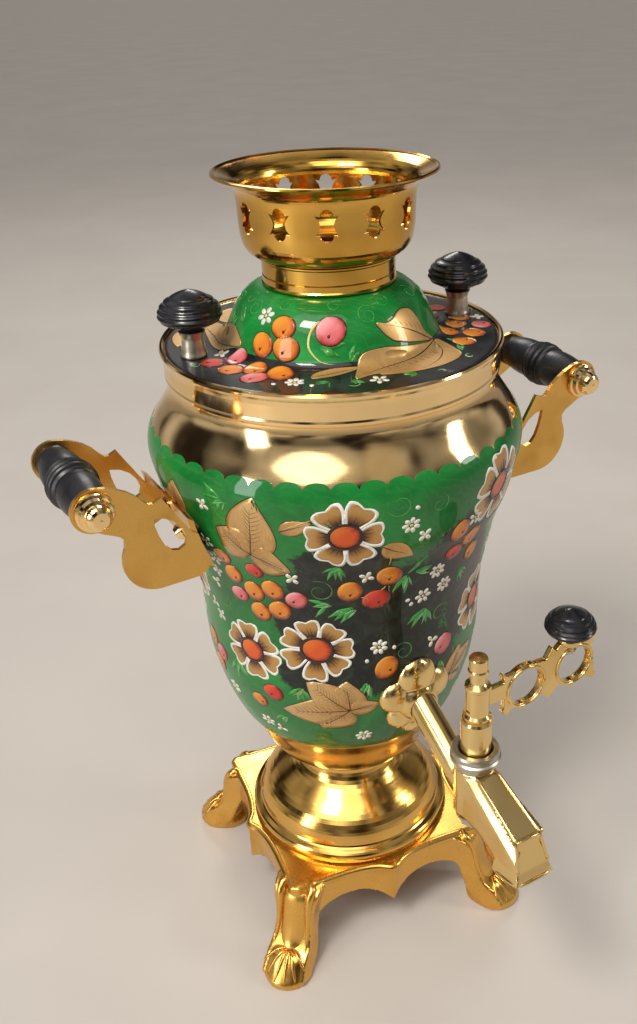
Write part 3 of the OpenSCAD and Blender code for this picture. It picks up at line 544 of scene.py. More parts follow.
def paint_shell():
    cols = scallops * 12
    s0, s1 = surface.s_of_z(low_edge), surface.s_of_z(237.4)
    rows = int((s1 - s0) / 1.7)
    theta = np.arange(cols) * 2 * math.pi / cols
    grid = np.zeros((rows + 3, cols))
    for k in range(rows + 1):
        grid[k] = s0 + (s1 - s0) * k / rows
    wob = 0.5 * np.sin(theta * 5 + 1) + 0.35 * np.sin(theta * 11)
    grid[0] += wob
    top = np.interp(scallop_z(theta), surface.p[:, 1], surface.s)
    grid[rows + 1] = (grid[rows] + top) / 2
    grid[rows + 2] = top
    n = rows + 3
    th = np.tile(theta, n)
    s = grid.ravel()
    outer_v = surface.place(th, s, PAINT)
    inner_v = surface.place(th, s, -0.25)
    verts = np.vstack([outer_v, inner_v])
    faces = []
    half = n * cols
    for k in range(n - 1):
        for i in range(cols):
            j = (i + 1) % cols
            a, b, c, d = k * cols + i, k * cols + j, (k + 1) * cols + j, (k + 1) * cols + i
            faces.append((a, b, c, d))
            faces.append((d + half, c + half, b + half, a + half))
    for i in range(cols):
        j = (i + 1) % cols
        faces.append((i + half, j + half, j, i))
        t = (n - 1) * cols
        faces.append((t + i, t + j, t + j + half, t + i + half))
    ob = new_object("body_paint", verts, faces, [paint_green], "samovar", "painted_body")
    z = surface.at(s)[:, 1]
    d = darkness(np.degrees(th), z)
    at = ob.data.attributes.new("dark", "FLOAT", "POINT")
    at.data.foreach_set("value", np.r_[d, d].astype(np.float32))
    sharpen(ob, 40)
    return ob


paint_shell()


# ---------------------------------------------------------------- painted motifs
class Painting:
    """Paint laid on a turned surface as thin closed patches, one mesh per painting."""

    def __init__(self, surf, mirror=False, step=1.7):
        self.surf = surf
        self.verts, self.faces, self.mats, self.index, self.uv = [], [], [], [], []
        self.count = 0
        self.step = step
        self.up = -1.0 if mirror else 1.0  # which way v runs along the profile

    def slot(self, mat):
        if mat not in self.mats:
            self.mats.append(mat)
        return self.mats.index(mat)

    def local(self, centre, u, v, h):
        theta, s0 = centre
        s = np.clip(s0 + self.up * np.asarray(v), 0.05, self.surf.s[-1] - 0.05)
        r = self.surf.at(s)[:, 0]
        return self.surf.place(theta + np.asarray(u) / r, s, h)

    def add(self, pts, faces, uv, mat):
        base = self.count
        self.verts.append(pts)
        self.uv.append(uv)
        self.count += len(pts)
        m = self.slot(mat)
        for f in faces:
            self.faces.append(tuple(base + i for i in f))
            self.index.append(m)

    def patch(self, centre, outline, middle, layer, mat, uv=None, step=2.4):
        """A filled star-shaped outline (u, v in mm round middle), lifted by its layer."""
        outline = np.array(outline, float)
        mid_ = np.array(middle, float)
        n = len(outline)
        far = np.linalg.norm(outline - mid_, axis=1).max()
        rings = max(1, int(math.ceil(far / step)))
        h = PAINT + LAYER * layer
        pts = [mid_]
        for k in range(1, rings + 1):
            pts += list(mid_ + (outline - mid_) * k / rings)
        pts = np.array(pts)
        uvs = (pts - mid_) / far if uv is None else uv(pts)
        top = self.local(centre, pts[:, 0], pts[:, 1], h)
        rim = self.local(centre, outline[:, 0], outline[:, 1], ROOT)
        mid_low = self.local(centre, [mid_[0]], [mid_[1]], -0.14 - 0.012 * far * far / 60)
        allp = np.vstack([top, rim, mid_low])
        alluv = np.vstack([uvs, uvs[-n:], uvs[:1]])
        t = len(top)
        faces = []
        for i in range(n):
            j = (i + 1) % n
            faces.append((0, 1 + i, 1 + j))
            for k in range(rings - 1):
                a, b = 1 + k * n, 1 + (k + 1) * n
                faces.append((a + i, b + i, b + j, a + j))
            a = 1 + (rings - 1) * n
            faces.append((a + i, t + i, t + j, a + j))
            faces.append((t + i, t + n, t + j))
        self.add(allp, self.wind(faces, outline), alluv, mat)

    def band(self, centre, outline, middle, layer, mat, inner=0.9, step=1.2):
        """A closed ring of paint between the outline and the outline shrunk towards middle."""
        outline = np.array(outline, float)
        mid_ = np.array(middle, float)
        n = len(outline)
        far = np.linalg.norm(outline - mid_, axis=1).max()
        rings = max(1, int(math.ceil(far * (1 - inner) / step)))
        pts = np.vstack([mid_ + (outline - mid_) * (inner + (1 - inner) * k / rings)
            for k in range(rings + 1)])
        uvs = (pts - mid_) / far
        top = self.local(centre, pts[:, 0], pts[:, 1], PAINT + LAYER * layer)
        low_pts = np.vstack([pts[:n], pts[-n:]])
        low = self.local(centre, low_pts[:, 0], low_pts[:, 1], ROOT)
        t = len(top)
        faces = []
        for i in range(n):
            j = (i + 1) % n
            for k in range(rings):
                a, b = k * n, (k + 1) * n
                faces.append((a + i, b + i, b + j, a + j))
            a = rings * n
            faces.append((a + i, t + n + i, t + n + j, a + j))
            faces.append((j, t + j, t + i, i))
            faces.append((t + i, t + j, t + n + j, t + n + i))
        self.add(np.vstack([top, low]), self.wind(faces, outline), np.vstack([uvs, uvs[:n], uvs[-n:]]), mat)

    def wind(self, faces, outline):
        u, v = outline.T
        area = 0.5 * np.sum(u * np.roll(v, -1) - v * np.roll(u, -1))
        return faces if (area > 0) == (self.up > 0) else [tuple(reversed(f)) for f in faces]

    def stroke(self, centre, line, width, layer, mat, step=1.0, taper=(1, 1)):
        """A brush line through the points (u, v in mm) with the widest width in mm."""
        p = resample(smooth(line, 6), step)
        if len(p) < 3:
            p = resample(p, np.linalg.norm(p[-1] - p[0]) / 2.01)
        d = np.gradient(p, axis=0)
        d /= np.linalg.norm(d, axis=1)[:, None] + 1e-9
        nrm = np.column_stack([-d[:, 1], d[:, 0]])
        t = np.linspace(0, 1, len(p))
        w = width / 2 * np.minimum(1, np.minimum((t + 0.04) / (0.3 * taper[0] + 0.02),
            (1.04 - t) / (0.5 * taper[1] + 0.02)))
        left, right = p + nrm * w[:, None], p - nrm * w[:, None]
        n = len(p)
        h = PAINT + LAYER * layer
        pts = np.vstack([left, right])
        top = self.local(centre, pts[:, 0], pts[:, 1], h)
        low = self.local(centre, pts[:, 0], pts[:, 1], ROOT)
        uv = np.column_stack([np.r_[np.ones(n), -np.ones(n)], np.r_[t, t]])
        faces = []
        m = 2 * n
        for i in range(n - 1):
            faces.append((i, n + i, n + i + 1, i + 1))
            faces.append((m + i, m + i + 1, m + n + i + 1, m + n + i))
            faces.append((i, i + 1, m + i + 1, m + i))
            faces.append((n + i + 1, n + i, m + n + i, m + n + i + 1))
        faces.append((0, m, m + n, n))
        faces.append((n - 1, 2 * n - 1, m + 2 * n - 1, m + n - 1))
        if self.up < 0:
            faces = [tuple(reversed(f)) for f in faces]
        self.add(np.vstack([top, low]), faces, np.vstack([uv, uv]), mat)

    def finish(self, name, body, slot):
        return new_object(name, np.vstack(self.verts), self.faces, self.mats, body, slot,
                          mat_index=self.index, uvs=np.vstack(self.uv))


def oval(rx, ry, turn=0.0, n=20, at=(0, 0)):
    a = np.arange(n) * 2 * math.pi / n
    x, y = rx * np.cos(a), ry * np.sin(a)
    c, s = math.cos(turn), math.sin(turn)
    return np.column_stack([at[0] + x * c - y * s, at[1] + x * s + y * c])


def turn_pts(p, a):
    p = np.array(p, float)
    c, s = math.cos(a), math.sin(a)
    return np.column_stack([p[:, 0] * c - p[:, 1] * s, p[:, 0] * s + p[:, 1] * c])


def petal(inner_r, length, half, notch=0.09, n=11, shrink=0.0):
    """Outline of one petal along +v: narrow foot, wide rounded end with a slight notch."""
    t = np.linspace(0, 1, n)
    w = half * (0.42 + 0.58 * np.sin(np.pi / 2 * np.minimum(1, t / 0.72)) ** 1.3) - shrink
    w = np.maximum(w, 0.15)
    y = inner_r + shrink * 0.6 + (length - inner_r - 1.5 * shrink) * t
    side = np.column_stack([w, y])
    keep = t < 0.86
    right = side[keep]
    top_y = length - shrink
    wt = right[-1][0]
    a = np.linspace(0, math.pi, 13)[1:-1]
    bend = notch * length * np.exp(-((a - math.pi / 2) / 0.32) ** 2)
    y0 = right[-1][1]
    cap = np.column_stack([wt * np.cos(a), y0 + (top_y - y0) * np.sin(a) ** 0.7 - bend])
    left = np.column_stack([-right[::-1, 0], right[::-1, 1]])
    return np.vstack([right, cap, left])


def flower(pa, centre, radius, petals, turn, rng):
    core = radius * 0.42
    half = radius * math.tan(math.pi / petals) * 0.7
    for i in range(petals):
        a = turn + i * 2 * math.pi / petals + rng.uniform(-0.06, 0.06)
        length = radius * rng.uniform(0.95, 1.05)
        wide = half * rng.uniform(0.94, 1.06)
        mid_ = np.array([[0, core + (length - core) * 0.5]])
        pa.band(centre, turn_pts(petal(core * 0.62, length, wide), a), turn_pts(mid_, a)[0], 3,
            paint_white, 0.78)
        out = petal(core * 0.62, length, wide, shrink=0.55)

        def uv(p, a=a, length=length, wide=wide):
            q = turn_pts(p, -a)
            along = (np.hypot(q[:, 0], q[:, 1]) - core * 0.9) / (length - core * 0.9)
            return np.column_stack([q[:, 0] / wide, along])
        pa.patch(centre, turn_pts(out, a), turn_pts(mid_, a)[0], 2, paint_gold, uv)
        # short dark rays from the middle
        for k in (-0.5, -0.17, 0.17, 0.5):
            b = a + k * (0.62 if petals < 7 else 0.5) + rng.uniform(-0.03, 0.03)
            r1 = core * rng.uniform(1.35, 1.75)
            pa.stroke(centre, turn_pts([[0, core * 0.85], [0, (core + r1) / 2], [0, r1]], b), 0.34, 4,
                paint_line, 1.2, (0.1, 1.6))
    pa.band(centre, oval(core * 1.06, core * 1.0, 0, 26), (0, 0), 5, paint_line, 0.8)
    pa.patch(centre, oval(core * 0.98, core * 0.92, 0, 26), (0, 0), 4, paint_core, step=1.6)


def berry(pa, centre, radius, mat, rng):
    tilt = rng.uniform(0, math.pi)
    rx, ry = radius * rng.uniform(1.0, 1.08), radius * rng.uniform(0.9, 0.96)
    pa.band(centre, oval(rx + 0.3, ry + 0.3, tilt, 26), (0, 0), 2, paint_line, 0.86)
    pa.patch(centre, oval(rx, ry, tilt, 26), (0, 0), 3, mat, step=pa.step)
    a = rng.uniform(-2.6, -0.6)
    at = (rx * 0.42 * math.cos(a), ry * 0.42 * math.sin(a))
    pa.patch(centre, oval(0.62, 0.5, a, 9, at), at, 4, paint_line)
    pa.stroke(centre, [at, (at[0] + 0.5, at[1] + 0.6), (at[0] + 0.8, at[1] + 1.3)], 0.2, 4, paint_line, 0.6)


def daisy(pa, centre, count, radius, rng):
    """A loose ring of small white strokes around a yellow dot, or single dots."""
    if count <= 1:
        pa.patch(centre, oval(0.95, 0.8, rng.uniform(0, 3), 10), (0, 0), 3, paint_white)
        return
    start = rng.uniform(0, 2 * math.pi)
    for i in range(count):
        a = start + i * 2 * math.pi / count
        at = (radius * math.cos(a), radius * math.sin(a))
        pa.patch(centre, oval(1.25, 0.86, a, 12, at), at, 3, paint_white)
        tip = (at[0] * 1.02, at[1] * 1.02)
        pa.patch(centre, oval(0.42, 0.2, a, 8, tip), tip, 4, paint_yellow)
    pa.patch(centre, oval(0.6, 0.6, 0, 10), (0, 0), 4, paint_yellow)


def lobe_outline(length, half, bend=0.0, n=15):
    """One leaf lobe along +v from its foot at 0 to a pointed tip."""
    t = np.linspace(0, 1, n)
    w = half * np.sin(np.pi * t ** 0.72) ** 0.85
    y = length * t
    x = bend * np.sin(np.pi / 2 * t) ** 2
    right = np.column_stack([x + w, y])
    left = np.column_stack([x - w, y])[::-1][1:-1]
    return np.vstack([right, left])


def leaf(pa, centre, lobes, rng, hatch=True):
    """A veined leaf of lobes (length, half width, degrees from up, bend) from one foot."""
    for length, half, deg, bend in lobes:
        a = math.radians(-deg)
        out = turn_pts(lobe_outline(length, half, bend), a)
        edge = turn_pts(lobe_outline(length + 0.5, half + 0.28, bend), a)
        mid_ = turn_pts([[bend * 0.35, length * 0.42]], a)[0]

        def uv(p, a=a, length=length, half=half):
            q = turn_pts(p, -a)
            return np.column_stack([q[:, 0] / half, q[:, 1] / length])
        pa.band(centre, edge, mid_, 1, paint_line, 0.8)
        pa.patch(centre, out, mid_, 2, paint_leaf, uv)
    for length, half, deg, bend in lobes:
        a = math.radians(-deg)
        t = np.linspace(0, 0.82, 6)
        rib = np.column_stack([bend * np.sin(np.pi / 2 * t) ** 2, length * t])
        pa.stroke(centre, turn_pts(rib, a), 0.42, 3, paint_line, 1.4, (0.1, 1.5))
        if hatch:
            for t in np.linspace(0.24, 0.74, 8):
                x0, y0 = bend * math.sin(math.pi / 2 * t) ** 2, length * t
                for side in (-1, 1):
                    reach = half * (0.3 if side < 0 else 0.42) * rng.uniform(0.75, 1.15)
                    pa.stroke(centre, turn_pts([[x0, y0], [x0 + side * reach * 0.6, y0 + reach * 0.5],
                        [x0 + side * reach, y0 + reach]], a),
                              0.16, 3, paint_line, 1.5, (0.2, 1.6))


def grass(pa, centre, dirs, length, width, mat, rng, layer=1):
    """A fan of brush leaves from one point; dirs in degrees from up."""
    for deg in dirs:
        a = math.radians(-deg)
        n = length * rng.uniform(0.8, 1.15)
        b = rng.uniform(-0.18, 0.18) * n
        p = np.array([[0, 0.6], [b * 0.3, n * 0.4], [b, n * 0.75], [b * 1.6, n]])
        pa.stroke(centre, turn_pts(p, a), width, layer, mat, 1.2, (1.6, 1.0))


def curl(pa, centre, radius, turns, start, width, mat, layer=1, flip=1):
    t = np.linspace(0, 1, 10 + int(14 * turns))
    r = radius * (1 - 0.82 * t)
    a = start + flip * 2 * math.pi * turns * t
    pa.stroke(centre, np.column_stack([r * np.cos(a), r * np.sin(a)]), width, layer, mat, 0.9, (1, 1))


BODY_CURLS = (
    (-34, 214, 4.5, 1.3, 0.4, 1), (-36, 194, 5.5, 1.4, 2.0, -1), (-62, 226, 5, 1.2, 1.0, 1),
    (-20, 229, 4, 1.3, 0.2, -1), (-12, 231, 5, 1.5, 2.6, 1), (0, 228, 4, 1.2, 1.4, -1),
    (-70, 150, 6, 1.2, 0.6, 1), (-78, 178, 5, 1.3, 1.6, -1), (10, 172, 4.4, 1.3, 0.2, 1),
    (-6, 160, 4.4, 1.4, 2.4, -1), (-38, 138, 4, 1.2, 0.8, 1), (3, 144, 4, 1.1, 1.5, -1),
    (20, 208, 3.6, 1.2, 0.4, 1), (42, 182, 5, 1.3, 1.3, 1), (46, 214, 5, 1.2, 0.2, -1))
BODY_GRASS = (
    (-29.5, 207, (200, 222, 178, 160, 240), 8.5, 1.7), (-7.5, 198, (190, 165, 215, 60), 9, 2.0),
    (-4.4, 198, (75, 110), 8, 1.9), (2.2, 178, (180, 215, 150, 238), 9.5, 2.2),
    (-25, 186, (200, 235, 255), 9, 2.4), (-33, 188, (250, 280, 225), 8, 1.8),
    (-21, 149, (190, 160), 9, 2.8), (-46, 146, (200, 225, 180, 160), 8, 2.0),
    (-62, 232, (200, 230, 255, 285), 8, 1.6), (-79, 208, (240, 200, 170), 8, 1.8),
    (-76, 150, (150, 180, 210), 10, 2.0), (17, 190, (150, 180, 120), 7.5, 1.7),
    (-14, 136, (120, 150, 90), 8, 2.2), (43, 232, (150, 180, 210), 8, 1.8),
    (-55, 128, (210, 240, 180), 7, 1.8), (-88, 190, (120, 160, 200), 9, 2.0),
    (50, 150, (200, 170, 230), 9, 2.0), (58, 200, (150, 190, 230), 9, 2.0),
    (-35, 226, (40, 70, 100), 6, 1.5), (12, 148, (150, 190), 7, 1.8))
BODY_BERRIES = (
    (-69.5, 203, 4.0, paint_orange), (-67.3, 195, 4.3, paint_orange), (-57.5, 200.5, 3.6, paint_red),
    (-66.9, 185.7, 3.7, paint_pink), (-59.9, 189.5, 4.5, paint_orange),
    (-52.3, 192.2, 4.6, paint_orange), (-59.0, 179.7, 4.5, paint_orange),
    (-51.0, 182.6, 4.5, paint_orange), (-44.2, 189.0, 4.2, paint_pink),
    (-26.1, 193.8, 4.8, paint_orange), (-17.3, 188.7, 4.9, paint_red),
    (-13.3, 199.3, 4.9, paint_orange), (-12.8, 154.3, 5.0, paint_orange),
    (-58.7, 139.8, 4.2, paint_red), (-67.0, 132.4, 3.6, paint_orange), (13.2, 155.5, 4.6, paint_pink),
    (10.2, 211.5, 4.6, paint_orange), (17.6, 205.0, 4.6, paint_orange), (10.9, 201.0, 3.9, paint_red),
    (21.5, 196.0, 4.2, paint_orange), (50, 188, 4.6, paint_orange), (57, 184, 4.4, paint_red),
    (54, 177, 4.5, paint_orange), (48, 130, 4.0, paint_red), (56, 133, 4.0, paint_orange),
    (-95, 150, 4.4, paint_orange), (-88, 146, 4.2, paint_pink), (-92, 139, 4.3, paint_orange))
BODY_STEMS = (
    (-22.5, 190.5, -20.2, 188.2, 1.0), (-14.2, 194.5, -16.4, 192.5, 0.8),
    (-15.5, 213, -14.2, 204.5, 1.2), (-45.0, 146, -50.0, 141, 1.5), (13, 206, 15.5, 207.5, 0.4),
    (-34.5, 229, -45, 223, 1.5))
BODY_DOTS = (
    (-69.8, 226.7, 4), (-74.3, 208.3, 5), (-74.2, 199.8, 5), (-75.9, 192.7, 4), (-82.8, 167.5, 4),
    (-44.5, 199.5, 4), (-20.8, 200.2, 4), (-8.5, 221.9, 7), (-7.1, 229.0, 1), (-3.7, 216.0, 4),
    (16.0, 214.5, 5), (5.1, 194.6, 7), (9.6, 186.1, 7), (0.6, 184.5, 6), (-4.0, 182.2, 1),
    (-5.6, 184.6, 1), (7.0, 160.0, 3), (-15.7, 164.8, 7), (-9.8, 163.2, 1), (-20.4, 159.0, 1),
    (-66.7, 119.3, 6), (-60.2, 117.2, 3), (-21.3, 117.6, 7), (-79, 186, 3), (-86, 172, 3), (40, 190, 6),
    (46, 200, 4), (2, 124, 6), (33, 120, 5), (44, 142, 4), (62, 152, 6), (-96, 206, 5), (-84, 130, 6),
    (56, 232, 5), (76, 196, 4), (-104, 160, 4))


def paint_body():
    rng = random.Random(7)
    pa = Painting(surface)

    def at(deg, z, turn):
        return math.radians(deg + turn), surface.s_of_z(z)

    for turn in (0, 180):
        A = lambda deg, z: at(deg, z, turn)
        # scroll lines and faint tendrils on green and black
        for deg, z, r, n, st, fl in BODY_CURLS:
            curl(pa, A(deg, z), r, n, st, 0.34, paint_leaf_green, 1, fl)
        # brush leaves
        for deg, z, dirs, n, w in BODY_GRASS:
            grass(pa, A(deg, z), dirs, n, w, paint_leaf_green, rng)
            grass(pa, A(deg + 1.2, z - 1), [d + 9 for d in dirs[:2]], n * 0.7, w * 0.4, paint_pale_green,
                rng, 2)
        # gold leaves with dark veins
        leaf(pa, A(-56.4, 209.1), [(15.5, 8.2, -58, 1.5), (15.0, 7.2, 108, 2.0), (26.5, 9.6, 16, -2.2)],
            rng)
        leaf(pa, A(-45.5, 222), [(12.5, 3.2, 62, 1.0)], rng, hatch=False)
        leaf(pa, A(-16.5, 214.5), [(13.5, 4.0, 128, -1.5)], rng, hatch=False)
        leaf(pa, A(-27.4, 134.5), [(22, 7.4, -52, 1.5), (15.5, 7.0, 4, -2.0), (15.5, 7.4, -140, 2.0),
            (27, 7.6, -92, -1.5), (12, 4.2, 72, 1.0)], rng)
        leaf(pa, A(19, 136), [(18, 6.2, 58, 1.5), (14, 5.2, 20, 1.0), (12, 4.6, 104, 1.0)], rng)
        leaf(pa, A(62, 176), [(20, 7.5, 30, -1.5), (16, 6.5, 96, 1.5), (15, 6.5, -38, 1.5)], rng)
        leaf(pa, A(-86, 214), [(18, 6.5, 10, 1.5), (14, 6.0, -64, 1.0), (13, 5.5, 84, 1.0)], rng)
        # flowers
        flower(pa, A(-27.3, 220.6), 14.2, 6, 0.52, rng)
        flower(pa, A(-38.8, 165.1), 15.0, 7, 0.3, rng)
        flower(pa, A(-66.5, 158.3), 13.4, 6, 0.1, rng)
        flower(pa, A(35.0, 166.0), 13.8, 6, 0.25, rng)
        flower(pa, A(26.5, 223.0), 14.6, 6, 0.1, rng)
        flower(pa, A(-101, 182.0), 13.6, 6, 0.4, rng)
        flower(pa, A(68, 216.0), 13.0, 6, 0.0, rng)
        # berries
        for deg, z, r, m in BODY_BERRIES:
            berry(pa, A(deg, z), r, m, rng)
        # thin stems between berries
        for a0, b0, a1, b1, bow in BODY_STEMS:
            r = surface.at([surface.s_of_z(b0)])[0, 0]
            du = math.radians(a1 - a0) * r
            dv = surface.s_of_z(b1) - surface.s_of_z(b0)
            pa.stroke(A(a0, b0), [(0, 0), (du / 2 + bow, dv / 2 + bow * 0.4), (du, dv)], 0.5, 3,
                paint_leaf, 1.2)
        # white dot flowers
        for deg, z, n in BODY_DOTS:
            daisy(pa, A(deg, z), n, 2.25 if n > 4 else 1.7, rng)
    return pa.finish("body_painting", "samovar", "painted_body")


paint_body()


# ---------------------------------------------------------------- lid
lid_line = smooth([
    [47.9, 268.2], [45.4, 268.4], [43.2, 268.8], [41.4, 269.5], [40.1, 270.6], [39.2, 272.2],
    [38.2, 274.4], [37.0, 277.2],
    [35.7, 279.9], [34.3, 282.2], [32.5, 284.4], [30.2, 286.4], [27.6, 287.9], [25.2, 288.7],
    [22.9, 288.9]], 5)
flange = np.array([[61.7, 267.65], [61.65, 267.95], [61.4, 268.12], [60.6, 268.15], [49.6, 268.15]])
lid_top = np.vstack([flange[:4], resample(np.vstack([flange[3:], lid_line]), 0.9)[1:]])
fold_r = 40.3  # the black border ends here and the green dome begins


def lid_piece():
    under = offset(np.vstack([flange[4:], lid_line]), 0.9)[::-1]
    under = under[under[:, 0] > 21.9]
    prof = np.vstack([[[61.7, 267.35]], lid_top, [[22.9, 296.3], [22.7, 296.55], [22.1, 296.55],
        [21.9, 296.3]],
                      [[21.9, 287.6]], under, [[49.4, 267.25], [61.5, 267.25]]])
    verts, faces = lathe(prof, SEG)
    n = len(prof)
    index = []
    for i in range(SEG):
        for k in range(n):
            if 1 <= k <= len(lid_top):
                r = prof[k, 0]
                index.append(1 if r > fold_r else 0)
            else:
                index.append(2)
    ob = new_object("lid_painted", verts, faces, [paint_lid, paint_black, brass_gold], "lid",
        "painted_lid", ["lid_shell"], mat_index=index)
    sharpen(ob, 40)


lid_piece()


LID_CURLS = (
    (-6, 32.5, 4.2, 1.6, 0.3, 1), (8, 29, 3.2, 1.4, 1.5, -1), (-26, 28.5, 3.0, 1.3, 0.6, 1),
    (40, 30, 3.6, 1.4, 2.0, -1), (-60, 29, 3.2, 1.3, 1.2, 1), (-84, 32, 3.6, 1.5, 2.2, -1),
    (66, 33, 3.8, 1.5, 0.6, 1), (84, 30, 3.2, 1.3, 2.6, -1))
LID_PALE_CURLS = (
    (-20.8, 52.5, 2.6, 0.8, 3.4, 1), (-88, 56, 2.0, 1.0, 1.0, -1), (30, 56.5, 2.2, 0.9, 0.6, 1),
    (12, 57, 1.8, 0.8, 2.4, -1))
LID_GRASS = (
    (-36, 37.6, (112, 84), 8.5, 3.0), (-20.5, 40.0, (18, 48), 6.5, 2.4),
    (-100, 39.5, (20, 60, 100), 7.0, 2.0), (-29.8, 49.4, (200, 230, 260, 290), 4.4, 0.7),
    (-20.8, 48.0, (160, 185), 5.4, 2.2), (4, 52.6, (250, 275, 300), 5.2, 1.9),
    (45, 42.9, (170, 190), 9.0, 1.6), (34, 52.0, (40, 65), 6.0, 1.6), (55, 36.5, (0, 25), 6.5, 2.2),
    (78, 38, (330, 0, 30), 6.0, 1.8), (-88, 36, (300, 330), 5.5, 1.6))
LID_DOTS = (
    (-71.0, 33.2, 6), (-92.4, 43.9, 4), (-43.6, 50.4, 7), (-50.6, 53.5, 1), (-36.6, 52.8, 1),
    (-11.4, 51.5, 5), (58.0, 34.4, 3))


def paint_lid_motifs():
    rng = random.Random(11)
    surf = Turned(resample(lid_top[3:], 0.5))
    pa = Painting(surf, step=0.8)

    def at(deg, r, turn):
        return math.radians(deg + turn), surf.s_of_r(r)

    def near(points, middle, turn):
        """Points given as angle and radius, as local u, v in mm round the middle."""
        t0, s0 = at(*middle, turn)
        out = []
        for deg, r in points:
            t1, s1 = at(deg, r, turn)
            out.append((((t1 - t0) * surf.at([s1])[0, 0]), s1 - s0))
        return out

    def shape(points, middle, turn, step=5):
        """A gold leaf lobe through the given outline, with its dark edge."""
        loop = np.array(near(points, middle, turn))
        n = len(loop)
        fine = []
        for i in range(n):
            q = [loop[(i + k) % n] for k in (-1, 0, 1, 2)]
            for k in range(step):
                fine.append(cr(*q, k / step))
        fine = np.array(fine)
        reach = np.linalg.norm(fine, axis=1)
        far = reach.max()

        def uv(p):
            return np.column_stack([p[:, 0] / far, 0.5 + 0.5 * p[:, 1] / far])
        pa.band(at(*middle, turn), fine * (1 + 0.35 / np.maximum(reach, 2.0))[:, None], (0, 0), 1,
            paint_line, 0.86, 0.8)
        pa.patch(at(*middle, turn), fine, (0, 0), 2, paint_leaf, uv, 0.8)

    def line(points, turn, width, mat, layer=3, taper=(0.3, 1.2)):
        pa.stroke(at(*points[0], turn), near(points, points[0], turn), width, layer, mat, 1.0, taper)

    for turn in (0, 180):
        A = lambda deg, r: at(deg, r, turn)
        for deg, r, rad, n, st, fl in LID_CURLS:
            curl(pa, A(deg, r), rad, n, st, 0.32, paint_leaf_green, 1, fl)
        for deg, r, rad, n, st, fl in LID_PALE_CURLS:
            curl(pa, A(deg, r), rad, n, st, 0.4, paint_pale_green, 1, fl)
        # green brush leaves
        for deg, r, dirs, n, w in LID_GRASS:
            grass(pa, A(deg, r), dirs, n, w, paint_leaf_green, rng)
        # the large gold leaf in three lobes, and the small one beside it
        shape([(35, 40.3), (29, 40.0), (8, 38.8), (-2, 38.4), (-13.3, 38.8), (-17.5, 42.0), (-19.7, 48.5),
            (-12, 46.8), (8, 46.0), (26, 43.0)], (6, 42.0), turn)
        shape([(36, 40.6), (39.5, 44.0), (31.5, 52.1), (23, 53.8), (7.3, 51.7), (-9.5, 47.0), (12, 45.0)],
            (20, 48.2), turn)
        shape([(35, 40.0), (10, 38.2), (3.8, 37.4), (-0.5, 36.0), (-2.3, 34.6), (3, 35.0), (8.9, 34.6),
            (14, 33.6), (19.3, 33.2), (26.0, 34.0), (29.0, 36.2), (31, 38.2)], (18, 36.6), turn)
        line([(35, 40.4), (14, 42.4), (-4, 43.4), (-16, 46.0)], turn, 0.42, paint_line)
        line([(35, 40.4), (31, 45.0), (20, 49.0), (8, 50.6)], turn, 0.42, paint_line)
        line([(35, 40.2), (22, 37.6), (10, 36.0), (1, 35.2)], turn, 0.42, paint_line)
        for k in range(9):
            a, r0 = 26 - 3.6 * k, 46.0 - 0.12 * k
            line([(a, r0), (a - 1.2, r0 - 2.2)], turn, 0.2, paint_line)
            line([(a - 2, 44.0 - 0.05 * k), (a - 3.4, 42.2)], turn, 0.18, paint_line)
            if k < 6:
                line([(28 - 3.4 * k, 37.8 - 0.4 * k), (26 - 3.4 * k, 36.4 - 0.3 * k)], turn, 0.18,
                    paint_line)
        shape([(-37.5, 47.0), (-37.0, 43.4), (-28, 41.2), (-16, 41.4), (-22, 43.4), (-30, 45.6)],
            (-29, 43.6), turn)
        line([(-36.5, 45.6), (-28, 43.4), (-18, 41.8)], turn, 0.26, paint_line)
        # pale stem of the pink berry
        line([(-35.5, 33.2), (-39.5, 34.8), (-41.2, 36.6), (-40.3, 38.0), (-34.6, 39.6), (-27.5, 40.2)],
            turn, 0.75, paint_yellow)
        berries = [(-56.7, 34.9, 4.4, paint_orange), (-67.9, 38.0, 4.5, paint_orange),
            (-53.3, 38.0, 4.7, paint_orange),
                   (-85.9, 50.2, 4.1, paint_red), (-80.8, 42.3, 4.2, paint_pink),
                   (-73.9, 49.5, 4.5, paint_orange),
                   (-65.3, 44.8, 4.3, paint_orange), (-60.4, 50.9, 4.6, paint_pink),
                   (-52.1, 45.2, 4.7, paint_orange), (-29.1, 35.2, 5.2, paint_pink)]
        if turn == 0:
            berries += [(82.0, 40.5, 4.0, paint_red), (77.0, 51.8, 4.2, paint_orange),
                (67.7, 47.6, 4.2, paint_orange), (65.5, 57.0, 3.9, paint_pink),
                        (56.0, 43.6, 4.0, paint_orange), (56.0, 53.0, 4.3, paint_orange),
                        (44.8, 50.0, 4.3, paint_orange)]
        for deg, r, rad, m in berries:
            berry(pa, A(deg, r), rad, m, rng)
        for deg, r, n in LID_DOTS:
            daisy(pa, A(deg, r), n, 2.2 if n > 4 else 1.6, rng)
        if turn == 0:
            daisy(pa, A(75.0, 58.4), 4, 1.6, rng)
        else:
